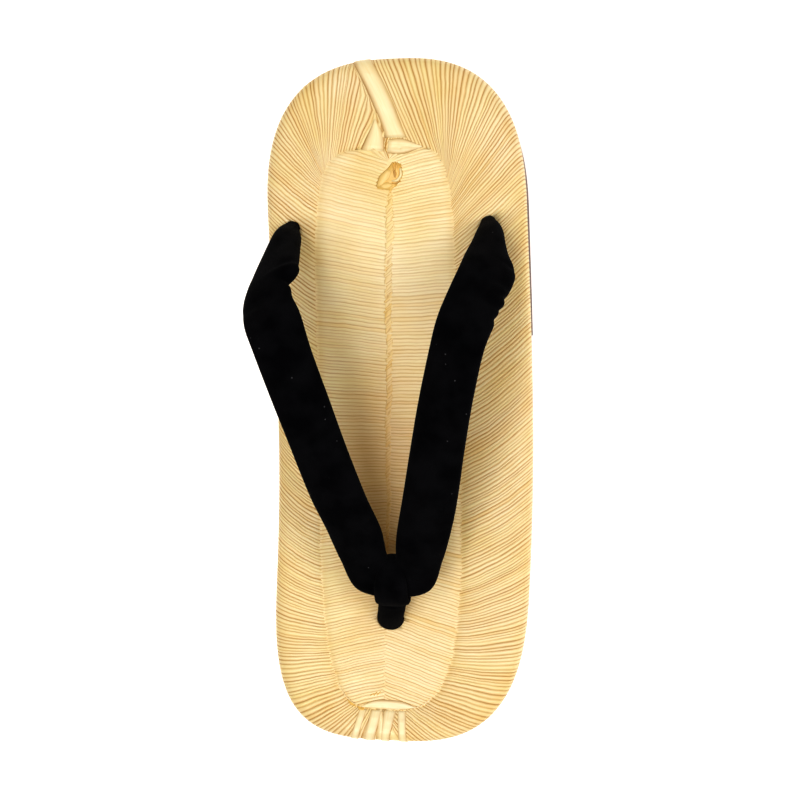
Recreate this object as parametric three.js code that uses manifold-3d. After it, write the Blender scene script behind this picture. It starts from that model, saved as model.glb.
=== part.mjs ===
// Setta sandal: a woven bamboo-sheath board on a thin leather sole, held to the foot by a padded velvet strap.
// Millimetres. The toe points to -Y, +Y runs to the heel, +X is the wearer's left and the floor is Z = 0.
import * as THREE from 'three';
import { mergeVertices } from 'three/addons/utils/BufferGeometryUtils.js';
import Module from 'manifold-3d';

// Driving dimensions of the sole
const LENGTH = 265;
const HEEL_END = LENGTH / 2;
const TOE_END = -LENGTH / 2;
const HEEL = { halfWidth: 51.0, round: 60, power: 2.67 };
const TOE = { halfWidth: 50.4, round: 65, power: 3.2 };
const BOW = { peakY: -15, atHeel: 3.3, atToe: 5.4 };

// Heights from the floor up
const FOREFOOT_FLAT = { back: -45, front: -95 };
const TOE_SPRING = 5;
const HEEL_RISE = 8.5;
const HEEL_RISE_END = 90;
const OUTSOLE_THICKNESS = 4;
const BOARD_THICKNESS = 8.5;
const GLUE_GAP = 0.3;
const CLEARANCE = 0.3;

// The leather sole and the heel lift sit just inside the woven edge
const OUTSOLE_INSET = 0.45;
const LIFT_INSET = { floor: 0.15, top: 0.45 };
const LIFT_LENGTH = 107;
const LIFT_BREAST_Y = HEEL_END - LIFT_LENGTH;

// The central woven panel and its twisted spine
const PANEL = { heelY: 98, toeY: -120.5, halfWidth: 28, power: 4, crease: 0.6, lip: 2.2, approach: 0.7 };
const SPINE = { heelX: -3.3, toeX: -6.2, halfWidth: 1.8, foot: 0.8, rise: 0.5, endInset: 9, power: 2.5 };
const DISH = { border: 0.7, panel: 1.0, middle: 1.25 };

// The board's rolled edge, from under the rim round to the top
const BOARD_EDGE = [
  { name: 'trimmed off', inset: 0.7, up: -2 },
  { name: 'under rim', inset: 0.7, up: 0 },
  { name: 'lower roll', inset: 0.1, up: 1.2 },
  { name: 'widest', inset: 0, up: 3.2 },
  { name: 'upper roll', inset: 0.3, up: 5.2 },
  { name: 'shoulder', inset: 1.1, up: 6.8 },
  { name: 'rim', inset: 2.6, up: 8.0 },
  { name: 'crown', inset: 5.0, up: 8.5 },
  { name: 'border', inset: 9.0, up: 8.4 },
];

// How finely the curved pieces are cut
const OUTLINE_POINTS = 108;
const SLAB = { stations: 44, halfWidth: 70, margin: 5 };
const TIP_SHARE = 0.998;
const WELD = 1e-4;
const STRAP_STEPS = 4;
const STRAP_SIDES = 14;
const LOOP_STEPS = 32;
const LOOP_SIDES = 12;

// The cutters for the three holes run past the board's underside by this share of their end section
const HOLE_OVERRUN = 0.4;

// Strap sections on one side, from the back hole to the V. Each edge is [outward, towards the toe, above the board].
// The strap is set by hand, so both sides also lean a little towards +X, or back where the lean is negative.
const STRAP_ROWS = [
  { name: 'hole bottom', outer: [41, -68.2, -8], inner: [36, -66.2, -8], thick: 6.0, lean: -1.9 },
  { name: 'hole mouth', outer: [41.2, -67.4, 1], inner: [35.8, -65.4, 1], thick: 6.2, lean: -1.8 },
  { name: 'neck', outer: [42.8, -62, 19], inner: [33, -59, 17], thick: 7.6, lean: 0.4 },
  { name: 'gather', outer: [44.6, -51, 30], inner: [30.2, -51.5, 34], thick: 8.0, lean: 0.8 },
  { name: 'inner fold', outer: [46, -43, 37], inner: [28.8, -45, 45], thick: 7.5, lean: 0.6 },
  { name: 'shoulder', outer: [46, -34, 47], inner: [26.4, -36.5, 50.5], thick: 7.0, lean: -0.4 },
  { name: 'outer fold', outer: [43.4, -26, 56], inner: [23.4, -27.5, 52], thick: 7.0, lean: -1.0 },
  { name: 'crest', outer: [39.6, -16.3, 58], inner: [20.6, -17, 51], thick: 7.0, lean: -1.3 },
  { name: 'instep', outer: [35, 0, 54.6], inner: [15.8, 0, 48], thick: 7.0, lean: -1.1 },
  { name: 'mid arm', outer: [30.8, 16.7, 48.6], inner: [11.4, 16.7, 44.6], thick: 7.0, lean: -0.5 },
  { name: 'front arm', outer: [26.8, 34, 39.8], inner: [6.8, 34, 38.2], thick: 7.0, lean: 0.2 },
  { name: 'V mouth', outer: [23.2, 46.2, 31.6], inner: [3.2, 46.2, 30.4], thick: 6.8, lean: 0.7 },
  { name: 'V side', outer: [19.2, 58.6, 24], inner: [2.2, 52, 27.6], thick: 6.8, lean: 0.8 },
  { name: 'V corner', outer: [13.8, 70.6, 16.6], inner: [1.7, 57, 24], thick: 7.4, lean: 0.8 },
];
const STRAP_BRIDGE = { name: 'bridge', outer: [0, 73.4, 15.2], inner: [0, 61, 20.5], thick: 8.5, lean: 0.8 };
const STRAP_FULLNESS = 2.5;

// Toe loop round the bridge. Widths across the sandal, by the side of the loop they are on.
const LOOP = { wall: 3.4, frontHalf: 7.0, crotchHalf: 3.4, topHalf: 6.4, underHalf: 5.2, fullness: 2.5 };

// Post from the loop down into the front hole, each row [towards the toe, above the board].
const POST_ROWS = [
  { name: 'in the loop', at: [75, 15], across: 11, along: 7, lean: 0.4 },
  { name: 'below the loop', at: [80.6, 7.5], across: 10.6, along: 8, lean: -1.2 },
  { name: 'hole mouth', at: [84.8, 0], across: 10.2, along: 8.6, lean: -2.8 },
  { name: 'hole bottom', at: [86.4, -8], across: 9.8, along: 8.6, lean: -3.0 },
];

const wasm = await Module();
wasm.setup();

const clamp01 = (value) => Math.min(1, Math.max(0, value));
const smoothstep = (value) => clamp01(value) ** 2 * (3 - 2 * clamp01(value));
const roundPower = (value, power) => Math.sign(value) * Math.abs(value) ** (2 / power);

// Half the sole's width at y: straight sides that round off into superellipse ends
function soleHalfWidth(y) {
  const end = y > 0 ? HEEL : TOE;
  const into = (Math.abs(y) - (LENGTH / 2 - end.round)) / end.round;
  const side = THREE.MathUtils.lerp(TOE.halfWidth, HEEL.halfWidth, smoothstep((y - TOE_END) / LENGTH));
  return into <= 0 ? side : side * Math.max(0, 1 - into ** end.power) ** (1 / end.power);
}

// The sole's centreline bows sideways, more towards the toe than the heel
function soleCentre(y) {
  if (y > BOW.peakY) {
    const back = (y - BOW.peakY) / (HEEL_END - BOW.peakY);
    return (-BOW.atHeel * (1 - Math.cos(Math.PI * back))) / 2;
  }
  return -BOW.atToe * ((y - BOW.peakY) / (TOE_END - BOW.peakY)) ** 2;
}

// Points evenly spaced round the outline, counter-clockwise from above, each with its inward direction
function soleOutline() {
  const dense = [];
  const turns = 2400;
  for (let step = 0; step < turns; step++) {
    const angle = (2 * Math.PI * step) / turns;
    const y = (LENGTH / 2) * Math.sin(angle);
    dense.push(new THREE.Vector2(soleCentre(y) + Math.sign(Math.cos(angle)) * soleHalfWidth(y), y));
  }
  const xs = dense.map((point) => point.x);
  const middle = (Math.min(...xs) + Math.max(...xs)) / 2;
  const path = new THREE.Path(dense.map((point) => point.setX(point.x - middle)));
  path.autoClose = true;
  const points = path.getSpacedPoints(OUTLINE_POINTS).slice(0, OUTLINE_POINTS);
  return points.map((point, i) => {
    const before = points[(i + OUTLINE_POINTS - 1) % OUTLINE_POINTS];
    const after = points[(i + 1) % OUTLINE_POINTS];
    const along = after.clone().sub(before).normalize();
    return { at: point, inward: new THREE.Vector2(-along.y, along.x) };
  });
}

const OUTLINE = soleOutline();
const CENTRE_X = soleCentre(OUTLINE[0].at.y) + soleHalfWidth(OUTLINE[0].at.y) - OUTLINE[0].at.x;
const strapCentre = (y) => soleCentre(y) - CENTRE_X;

// Underside of the outsole: flat under the forefoot, sprung at the toe, lifted over the arch to the heel
function soleUnderside(y) {
  if (y < FOREFOOT_FLAT.front) {
    return TOE_SPRING * ((FOREFOOT_FLAT.front - y) / (FOREFOOT_FLAT.front - TOE_END)) ** 2;
  }
  return HEEL_RISE * smoothstep((y - FOREFOOT_FLAT.back) / (HEEL_RISE_END - FOREFOOT_FLAT.back));
}
const boardUnderside = (y) => soleUnderside(y) + OUTSOLE_THICKNESS + GLUE_GAP;
const boardTop = (y) => boardUnderside(y) + BOARD_THICKNESS;

// A closed skin through rings of equal length. Its first and last rings are capped, or joined where there is no cap.
function skin(rings, capTriangles) {
  const size = rings[0].length;
  const last = (rings.length - 1) * size;
  const bands = capTriangles ? rings.length - 1 : rings.length;
  const triangles = [];
  for (let ring = 0; ring < bands; ring++) {
    const nextRing = (ring + 1) % rings.length;
    for (let i = 0; i < size; i++) {
      const next = (i + 1) % size;
      const [a, b] = [ring * size + i, ring * size + next];
      const [c, d] = [nextRing * size + i, nextRing * size + next];
      triangles.push([a, b, d], [a, d, c]);
    }
  }
  if (capTriangles) {
    for (const [a, b, c] of capTriangles(rings[0])) triangles.push([a, c, b]);
    for (const [a, b, c] of capTriangles(rings.at(-1))) triangles.push([last + a, last + b, last + c]);
  }
  const points = rings.flat();
  const volume = triangles.reduce((sum, [a, b, c]) => {
    return sum + points[a].dot(new THREE.Vector3().crossVectors(points[b], points[c]));
  }, 0);
  const outward = volume > 0 ? triangles : triangles.map(([a, b, c]) => [a, c, b]);
  return solidFrom(points.flatMap((point) => point.toArray()), outward.flat());
}

const fanCap = (ring) => ring.slice(2).map((_, i) => [0, i + 1, i + 2]);

// A cap that laces the two long sides of a ring together, from the heel tip to the toe tip
function lacedCap(ring) {
  const size = ring.length;
  const heelTip = size / 4;
  const triangles = [];
  for (let step = 0; step < size / 2; step++) {
    const right = (heelTip - step + size) % size;
    const rightNext = (heelTip - step - 1 + size) % size;
    const left = (heelTip + step) % size;
    const leftNext = (heelTip + step + 1) % size;
    if (left !== right) triangles.push([right, left, leftNext]);
    if (leftNext !== rightNext) triangles.push([right, leftNext, rightNext]);
  }
  return triangles;
}

function solidFrom(positions, indices) {
  const geometry = new THREE.BufferGeometry();
  geometry.setAttribute('position', new THREE.Float32BufferAttribute(positions, 3));
  geometry.setIndex(indices);
  const merged = mergeVertices(geometry, WELD);
  return new wasm.Manifold(new wasm.Mesh({
    numProp: 3,
    vertProperties: new Float32Array(merged.attributes.position.array),
    triVerts: new Uint32Array(merged.index.array),
  }));
}

function meshFrom(name, solid, material) {
  const { vertProperties, triVerts, numProp } = solid.getMesh();
  const positions = [];
  for (let v = 0; v < vertProperties.length; v += numProp) positions.push(...vertProperties.slice(v, v + 3));
  const geometry = new THREE.BufferGeometry();
  geometry.setAttribute('position', new THREE.Float32BufferAttribute(positions, 3));
  geometry.setIndex(Array.from(triVerts));
  geometry.computeVertexNormals();
  const mesh = new THREE.Mesh(geometry, material);
  mesh.name = name;
  return mesh;
}

// The outline moved inwards, at a height worked out point by point
function insetRing(inset, height) {
  return OUTLINE.map(({ at, inward }) => {
    const point = at.clone().addScaledVector(inward, inset);
    return new THREE.Vector3(point.x, point.y, height(point.y));
  });
}

// A ring between two others, share 0 to 1, with its own height
function betweenRing(from, to, share, height) {
  return from.map((point, i) => {
    const middle = point.clone().lerp(to[i], share);
    return middle.setZ(height(middle.y));
  });
}

const spineX = (y) => THREE.MathUtils.mapLinear(y, HEEL_END, TOE_END, SPINE.heelX, SPINE.toeX);

// A rounded-rectangle loop round the spine, matched point for point with the outline
function spineLoop(heelY, toeY, halfWidth, power, height) {
  const middleY = (heelY + toeY) / 2;
  const halfLength = (heelY - toeY) / 2;
  return OUTLINE.map(({ at }) => {
    const along = (at.y / (LENGTH / 2)) * TIP_SHARE;
    const side = Math.sign(at.x - strapCentre(at.y));
    const y = middleY + halfLength * along;
    const x = spineX(y) + side * halfWidth * (1 - Math.abs(along) ** power) ** (1 / power);
    return new THREE.Vector3(x, y, height(y));
  });
}

// A slab that follows the sole's profile between two height functions
function profileSlab(fromY, lower, upper) {
  const sections = [];
  for (let i = 0; i <= SLAB.stations; i++) {
    const y = THREE.MathUtils.lerp(fromY, HEEL_END + SLAB.margin, i / SLAB.stations);
    sections.push([[-1, lower], [1, lower], [1, upper], [-1, upper]].map(([side, height]) => {
      return new THREE.Vector3(side * SLAB.halfWidth, y, height(y));
    }));
  }
  return skin(sections, fanCap);
}

// An upright prism of the outline, wider or narrower at the floor than at the top
function outlinePrism(floorInset, topInset) {
  const below = -5;
  const above = 40;
  return skin([insetRing(floorInset, () => below), insetRing(topInset, () => above)], lacedCap);
}

function makeOutsole() {
  const top = (y) => soleUnderside(y) + OUTSOLE_THICKNESS;
  const slab = profileSlab(TOE_END - SLAB.margin, soleUnderside, top);
  return outlinePrism(OUTSOLE_INSET, OUTSOLE_INSET).intersect(slab);
}

function makeHeelLift() {
  const slab = profileSlab(LIFT_BREAST_Y, () => 0, (y) => soleUnderside(y) - GLUE_GAP);
  return outlinePrism(LIFT_INSET.floor, LIFT_INSET.top).intersect(slab);
}

// The board: flat underneath, rolled over at the edge, a creased central panel and a raised spine
function makeBoard() {
  const sunk = (depth) => (y) => boardTop(y) - depth;
  const panelLoop = (inset, depth) => spineLoop(
    PANEL.heelY - inset, PANEL.toeY + inset, PANEL.halfWidth - inset, PANEL.power, sunk(depth));
  const spineStrip = (inset, halfWidth, depth) => spineLoop(
    PANEL.heelY - inset, PANEL.toeY + inset, halfWidth, SPINE.power, sunk(depth));
  const edge = BOARD_EDGE.map(({ inset, up }) => insetRing(inset, (y) => boardUnderside(y) + up));
  const panelEdge = panelLoop(0, DISH.panel + PANEL.crease);
  const panelLip = panelLoop(PANEL.lip, DISH.panel);
  const spineFoot = spineStrip(SPINE.endInset, SPINE.halfWidth + SPINE.foot, DISH.middle);
  const spineCrown = spineStrip(SPINE.endInset + SPINE.foot, SPINE.halfWidth, DISH.middle - SPINE.rise);
  const borderRing = betweenRing(edge.at(-1), panelEdge, PANEL.approach, sunk(DISH.border));
  const panelRing = betweenRing(panelLip, spineFoot, 0.5, sunk(DISH.middle));
  const rough = skin([...edge, borderRing, panelEdge, panelLip, panelRing, spineFoot, spineCrown], lacedCap);
  return rough.intersect(profileSlab(TOE_END - SLAB.margin, boardUnderside, sunk(-SLAB.margin)));
}

// One strap edge point in the sandal's frame, side -1 or 1
function strapPoint([outward, toToe, above], side, lean) {
  const y = -toToe;
  return new THREE.Vector3(strapCentre(y) + side * outward + lean, y, boardTop(y) + above);
}

// The two edges of a strap section and its thickness
function strapSection({ outer, inner, thick, lean }, side) {
  return { outer: strapPoint(outer, side, lean), inner: strapPoint(inner, side, lean), thick };
}

// The strap as one padded loft from hole to hole, grown all round, and lengthened by a share of its end sections
function makeStrap(grow, endGrow) {
  const sideRows = (side) => STRAP_ROWS.map((row) => strapSection(row, side));
  const rows = [...sideRows(-1), strapSection(STRAP_BRIDGE, 1), ...sideRows(1).reverse()];
  for (const [end, next] of [[rows[0], rows[1]], [rows.at(-1), rows.at(-2)]]) {
    end.outer.lerp(next.outer, -endGrow);
    end.inner.lerp(next.inner, -endGrow);
  }
  const outerCurve = new THREE.CatmullRomCurve3(rows.map((row) => row.outer), false, 'catmullrom', 0.5);
  const innerCurve = new THREE.CatmullRomCurve3(rows.map((row) => row.inner), false, 'catmullrom', 0.5);
  const count = (rows.length - 1) * STRAP_STEPS;
  const halfStep = 0.5 / count;
  const middle = (t) => outerCurve.getPoint(t).lerp(innerCurve.getPoint(t), 0.5);
  const sections = [];
  for (let i = 0; i <= count; i++) {
    const t = i / count;
    const across = outerCurve.getPoint(t).sub(innerCurve.getPoint(t));
    const halfWidth = across.length() / 2 + grow;
    const forward = middle(Math.min(1, t + halfStep)).sub(middle(Math.max(0, t - halfStep)));
    const face = new THREE.Vector3().crossVectors(across, forward).normalize();
    const row = Math.min(rows.length - 2, Math.floor(i / STRAP_STEPS));
    const thick = THREE.MathUtils.lerp(rows[row].thick, rows[row + 1].thick, i / STRAP_STEPS - row);
    across.normalize();
    sections.push(Array.from({ length: STRAP_SIDES }, (_, side) => {
      const angle = (2 * Math.PI * side) / STRAP_SIDES;
      return middle(t)
        .addScaledVector(across, halfWidth * roundPower(Math.cos(angle), STRAP_FULLNESS))
        .addScaledVector(face, (thick / 2 + grow) * roundPower(Math.sin(angle), STRAP_FULLNESS));
    }));
  }
  return skin(sections, fanCap);
}

// The loop's ring stands across the bridge, wider at the front than in the fork of the V
function makeLoopRing() {
  const { outer, inner, thick } = strapSection(STRAP_BRIDGE, 1);
  const middle = outer.clone().lerp(inner, 0.5);
  const wide = outer.clone().sub(inner);
  const reachWide = wide.length() / 2 + CLEARANCE + LOOP.wall / 2;
  const reachTall = thick / 2 + CLEARANCE + LOOP.wall / 2;
  wide.normalize();
  const tall = new THREE.Vector3(1, 0, 0).cross(wide).normalize();
  if (tall.z < 0) tall.negate();
  const rings = [];
  for (let step = 0; step < LOOP_STEPS; step++) {
    const turn = (2 * Math.PI * step) / LOOP_STEPS;
    const front = Math.max(0, Math.cos(turn)) ** 2;
    const crotch = Math.max(0, -Math.cos(turn)) ** 2;
    const top = Math.max(0, Math.sin(turn)) ** 2;
    const under = Math.max(0, -Math.sin(turn)) ** 2;
    const half = front * LOOP.frontHalf + crotch * LOOP.crotchHalf + top * LOOP.topHalf + under * LOOP.underHalf;
    const centre = middle.clone()
      .addScaledVector(wide, reachWide * Math.cos(turn))
      .addScaledVector(tall, reachTall * Math.sin(turn));
    const away = wide.clone().multiplyScalar(Math.cos(turn) * reachTall)
      .addScaledVector(tall, Math.sin(turn) * reachWide).normalize();
    rings.push(Array.from({ length: LOOP_SIDES }, (_, side) => {
      const angle = (2 * Math.PI * side) / LOOP_SIDES;
      return centre.clone()
        .add(new THREE.Vector3(half * roundPower(Math.cos(angle), LOOP.fullness), 0, 0))
        .addScaledVector(away, (LOOP.wall / 2) * roundPower(Math.sin(angle), LOOP.fullness));
    }));
  }
  return skin(rings, null);
}

// The post stands in the front hole and runs up into the loop
function makePost(grow, endGrow) {
  const centres = POST_ROWS.map(({ at: [toToe, above], lean }) => strapPoint([0, toToe, above], 1, lean));
  centres.at(-1).lerp(centres.at(-2), -endGrow);
  const sections = POST_ROWS.map(({ across, along }, row) => {
    const centre = centres[row];
    return Array.from({ length: LOOP_SIDES }, (_, side) => {
      const angle = (2 * Math.PI * side) / LOOP_SIDES;
      return centre.clone().add(new THREE.Vector3(
        (across / 2 + grow) * Math.cos(angle), (along / 2 + grow) * Math.sin(angle), 0));
    });
  });
  return skin(sections, fanCap);
}

const MATERIALS = {
  bamboo: new THREE.MeshStandardMaterial({ color: 0xd9b36a, roughness: 0.45, metalness: 0 }),
  leather: new THREE.MeshStandardMaterial({ color: 0x4a2620, roughness: 0.6, metalness: 0 }),
  velvet: new THREE.MeshStandardMaterial({ color: 0x0c0c0e, roughness: 0.95, metalness: 0 }),
};

const strap = makeStrap(0, 0);
const strapRoom = makeStrap(CLEARANCE, HOLE_OVERRUN);
const post = makePost(0, 0);
const postRoom = makePost(CLEARANCE, HOLE_OVERRUN);
const board = makeBoard().subtract(strapRoom).subtract(postRoom);
const toeLoop = makeLoopRing().add(post).subtract(strapRoom);

const sandal = new THREE.Group();
sandal.name = 'setta_sandal';
sandal.add(
  meshFrom('heel_lift', makeHeelLift(), MATERIALS.leather),
  meshFrom('outsole', makeOutsole(), MATERIALS.leather),
  meshFrom('woven_top', board, MATERIALS.bamboo),
  meshFrom('strap', strap, MATERIALS.velvet),
  meshFrom('toe_loop', toeLoop, MATERIALS.velvet),
);

export default sandal;
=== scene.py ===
# %% [markdown]
# # A setta sandal
# A setta is a flat sandal: a mat woven from split bamboo sheath, glued and sewn on a thin leather sole
# with a low heel lift, and held to the foot by one padded velvet strap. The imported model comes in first,
# as a fixed frame in metres. Everything below is built around it, so nothing has to be fitted afterwards.

# %% Load the frame
import math

import bmesh
import bpy
import numpy as np
from mathutils import Matrix, Vector
from mathutils.bvhtree import BVHTree


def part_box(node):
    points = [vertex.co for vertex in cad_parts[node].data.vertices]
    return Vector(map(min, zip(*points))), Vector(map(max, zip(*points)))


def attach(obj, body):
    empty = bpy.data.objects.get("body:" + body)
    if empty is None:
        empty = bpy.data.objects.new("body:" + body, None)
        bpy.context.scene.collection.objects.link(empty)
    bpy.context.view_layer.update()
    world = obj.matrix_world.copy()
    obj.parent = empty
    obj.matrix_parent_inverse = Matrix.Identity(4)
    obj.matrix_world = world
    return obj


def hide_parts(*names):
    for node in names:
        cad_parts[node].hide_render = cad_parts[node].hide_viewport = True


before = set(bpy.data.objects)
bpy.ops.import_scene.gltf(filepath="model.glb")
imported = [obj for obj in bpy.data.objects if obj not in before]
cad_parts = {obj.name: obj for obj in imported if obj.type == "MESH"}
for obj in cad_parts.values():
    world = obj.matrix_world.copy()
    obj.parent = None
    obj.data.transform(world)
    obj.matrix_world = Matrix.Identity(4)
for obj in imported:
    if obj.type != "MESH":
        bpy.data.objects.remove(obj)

MM = 0.001
scene = bpy.context.scene
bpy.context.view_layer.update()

# %% [markdown]
# ## The shape of the sole
# The mat, the leather and the lift all share one outline and one side profile. An outline could be a list
# of traced points, but a rule is easier to change: straight sides that round off into superellipse ends,
# round a centreline that bows a little sideways. All sizes are millimetres, with the toe at -Y and the
# floor at Z = 0.

# %% Sole outline
LENGTH = (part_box("woven_top")[1].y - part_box("woven_top")[0].y) / MM
HEEL = {"half_width": 51.0, "round": 60.0, "power": 2.67}
TOE = {"half_width": 50.4, "round": 65.0, "power": 3.2}
BOW = {"peak_y": -15.0, "at_heel": 3.3, "at_toe": 5.4}


def smoothstep(value):
    value = np.clip(value, 0.0, 1.0)
    return value * value * (3.0 - 2.0 * value)


def sole_half_width(y):
    round_off = np.where(y > 0, HEEL["round"], TOE["round"])
    power = np.where(y > 0, HEEL["power"], TOE["power"])
    into = np.clip((np.abs(y) - (LENGTH / 2 - round_off)) / round_off, 0.0, 1.0)
    share = smoothstep((y + LENGTH / 2) / LENGTH)
    side = TOE["half_width"] + (HEEL["half_width"] - TOE["half_width"]) * share
    return side * (1.0 - into ** power) ** (1.0 / power)


def bowed_centre(y):
    back = (y - BOW["peak_y"]) / (LENGTH / 2 - BOW["peak_y"])
    front = (y - BOW["peak_y"]) / (-LENGTH / 2 - BOW["peak_y"])
    behind_peak = -BOW["at_heel"] * (1 - np.cos(np.pi * back)) / 2
    return np.where(y > BOW["peak_y"], behind_peak, -BOW["at_toe"] * front ** 2)


print("sole length in millimetres:", round(LENGTH, 1))

# %% [markdown]
# ## The side profile
# From the side the sole is flat under the ball of the foot, springs up at the toe and rises over a low
# arch to the heel, where the lift carries it. One function gives the underside at any place along the
# foot, and each layer adds its own thickness, so all the layers stay parallel.

# %% Side profile
FOREFOOT_FLAT = {"back": -45.0, "front": -95.0}
TOE_SPRING = 5.0
HEEL_RISE = 8.5
HEEL_RISE_END = 90.0
OUTSOLE_THICKNESS = 4.0
BOARD_THICKNESS = 8.5
GLUE_GAP = 0.3


def sole_underside(y):
    sprung = TOE_SPRING * ((FOREFOOT_FLAT["front"] - y) / (FOREFOOT_FLAT["front"] + LENGTH / 2)) ** 2
    lifted = HEEL_RISE * smoothstep((y - FOREFOOT_FLAT["back"]) / (HEEL_RISE_END - FOREFOOT_FLAT["back"]))
    return np.where(y < FOREFOOT_FLAT["front"], sprung, lifted)


def board_underside(y):
    return sole_underside(y) + OUTSOLE_THICKNESS + GLUE_GAP


def board_top(y):
    return board_underside(y) + BOARD_THICKNESS


profile_ends = [round(float(board_top(y)), 1) for y in (LENGTH / 2, -LENGTH / 2)]
print("top of the mat at heel and toe:", profile_ends)

# %% [markdown]
# ## Measuring along the edge
# Ribs and bands start at the edge, so a place on it is given by how far round the edge it lies, counted
# from the heel, with the left side negative. The outline is cut into many small steps once, and a place or
# the direction inwards from it is then read off between them.

# %% Distances along the edge
turn = np.linspace(-np.pi, np.pi, 12001)
edge_y = LENGTH / 2 * np.cos(turn)
edge_x = bowed_centre(edge_y) + np.sign(turn) * sole_half_width(edge_y)
CENTRE_X = (edge_x.min() + edge_x.max()) / 2
edge_x = edge_x - CENTRE_X


def sole_centre(y):
    return bowed_centre(y) - CENTRE_X


def distance_from_heel(x, y):
    """Signed distance along a curve from the toe up the left side, round the heel and down the right."""
    run = np.concatenate([[0.0], np.cumsum(np.hypot(np.diff(x), np.diff(y)))])
    return run - run[len(run) // 2]


edge_run = distance_from_heel(edge_x, edge_y)


def wrapped(run):
    return (run - edge_run[0]) % (edge_run[-1] - edge_run[0]) + edge_run[0]


def edge_point(run):
    run = wrapped(run)
    return np.stack([np.interp(run, edge_run, edge_x), np.interp(run, edge_run, edge_y)], axis=-1)


def unit(vectors):
    """The same directions, each with a length of one."""
    return vectors / np.linalg.norm(vectors, axis=-1, keepdims=True)


def edge_inward(run):
    step = 0.8
    along = unit(edge_point(run + step) - edge_point(run - step))
    return np.stack([along[..., 1], -along[..., 0]], axis=-1)


print("edge length from heel to toe, left and right:", round(-edge_run[0], 1), round(edge_run[-1], 1))

# %% [markdown]
# ## Camera
# The photograph looks almost straight down, from a little to the right of this sandal: the strap leans out
# over the left edge and a sliver of leather shows at the right edge. A lens shift would keep the frame
# square, but it would push the sandal out of the picture in every other view. So the camera stands where
# the photograph was taken from and simply turns to look at the sandal.

# %% Camera
CAMERA_HEIGHT = 0.457
CAMERA_TO_THE_RIGHT = 0.078
LENS = 52.0
SENSOR = 36.0
LOOK_AT = Vector((0.0012, 0.0003, 0.017))


def looking_down(position, target):
    """A camera matrix that keeps the heel at the top of the picture."""
    forward = (target - position).normalized()
    right = forward.cross(Vector((0.0, 1.0, 0.0))).normalized()
    up = right.cross(forward)
    turned = Matrix((right, up, -forward)).transposed().to_4x4()
    return Matrix.Translation(position) @ turned


camera_data = bpy.data.cameras.new("camera")
camera_data.lens = LENS
camera_data.sensor_width = SENSOR
camera = bpy.data.objects.new("camera", camera_data)
scene.collection.objects.link(camera)
camera.matrix_world = looking_down(Vector((CAMERA_TO_THE_RIGHT, 0.0, CAMERA_HEIGHT)), LOOK_AT)
scene.camera = camera
print("camera at", tuple(round(v, 3) for v in camera.matrix_world.translation))

# %% [markdown]
# ## Node helpers
# Geometry trees and materials are both graphs of nodes and links. A few small helpers keep the graphs
# short to read: one adds a node and sets or links its inputs, one does a step of arithmetic, one mixes two
# colours and one starts a material. Constants are set on the shader's own sockets.

# %% Node helpers


def add_node(tree, kind, inputs=None, **settings):
    """A new node with its settings, and its inputs set to values or linked to sockets."""
    node = tree.nodes.new(kind)
    for name, value in settings.items():
        setattr(node, name, value)
    for key, value in (inputs or {}).items():
        socket = node.inputs[key]
        if isinstance(value, bpy.types.NodeSocket):
            tree.links.new(value, socket)
        else:
            socket.default_value = value
    return node


def calculate(tree, operation, *values, clamp=False):
    """One Math node. Each value is a number or a socket."""
    inputs = dict(enumerate(values))
    return add_node(tree, "ShaderNodeMath", inputs, operation=operation, use_clamp=clamp).outputs[0]


def named_sockets(tree, direction, sockets):
    """Adds the named inputs or outputs of a tree and returns them by name."""
    made = {}
    for name, kind in sockets:
        made[name] = tree.interface.new_socket(name, in_out=direction, socket_type="NodeSocket" + kind)
    return made


def mix_colours(tree, factor, first, second):
    inputs = {0: factor, 6: first, 7: second}
    return add_node(tree, "ShaderNodeMix", inputs, data_type="RGBA").outputs[2]


def new_material(name, constants):
    """A material with nothing but its output and a Principled shader with these constants."""
    material = bpy.data.materials.new(name)
    material.use_nodes = True
    tree = material.node_tree
    tree.nodes.clear()
    shader = add_node(tree, "ShaderNodeBsdfPrincipled", constants)
    output = add_node(tree, "ShaderNodeOutputMaterial")
    tree.links.new(shader.outputs["BSDF"], output.inputs["Surface"])
    return material, tree, shader


def colour(red, green, blue):
    """An sRGB colour from 0 to 255 as the linear values that Blender works in."""
    share = np.array([red, green, blue]) / 255.0
    linear = np.where(share <= 0.04045, share / 12.92, ((share + 0.055) / 1.055) ** 2.4)
    return (*(float(v) for v in linear), 1.0)


print("helpers ready")

# %% [markdown]
# ## Shared finishes
# Two effects come back in several materials. Fibre grain is a noise stretched along the strands of bamboo
# or the fibres of leather. Soft blotches are a slow drift of tone over the whole surface. Each is a node
# group with named inputs, built once, so a material only chooses its own values.

# %% Shared shader groups


def make_fibre_grain():
    group = bpy.data.node_groups.new("fibre_grain", "ShaderNodeTree")
    named_sockets(group, "INPUT", [("Vector", "Vector"), ("Across", "Float"), ("Along", "Float")])
    named_sockets(group, "OUTPUT", [("Grain", "Float")])
    given = add_node(group, "NodeGroupInput").outputs
    sizes = {0: given["Across"], 1: given["Along"], 2: given["Across"]}
    stretch = add_node(group, "ShaderNodeCombineXYZ", sizes).outputs[0]
    factors = {0: given["Vector"], 1: stretch}
    scaled = add_node(group, "ShaderNodeVectorMath", factors, operation="MULTIPLY").outputs[0]
    noise = add_node(group, "ShaderNodeTexNoise", {"Vector": scaled, "Scale": 1.0, "Detail": 4.0})
    add_node(group, "NodeGroupOutput", {"Grain": noise.outputs["Fac"]})
    return group


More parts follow.
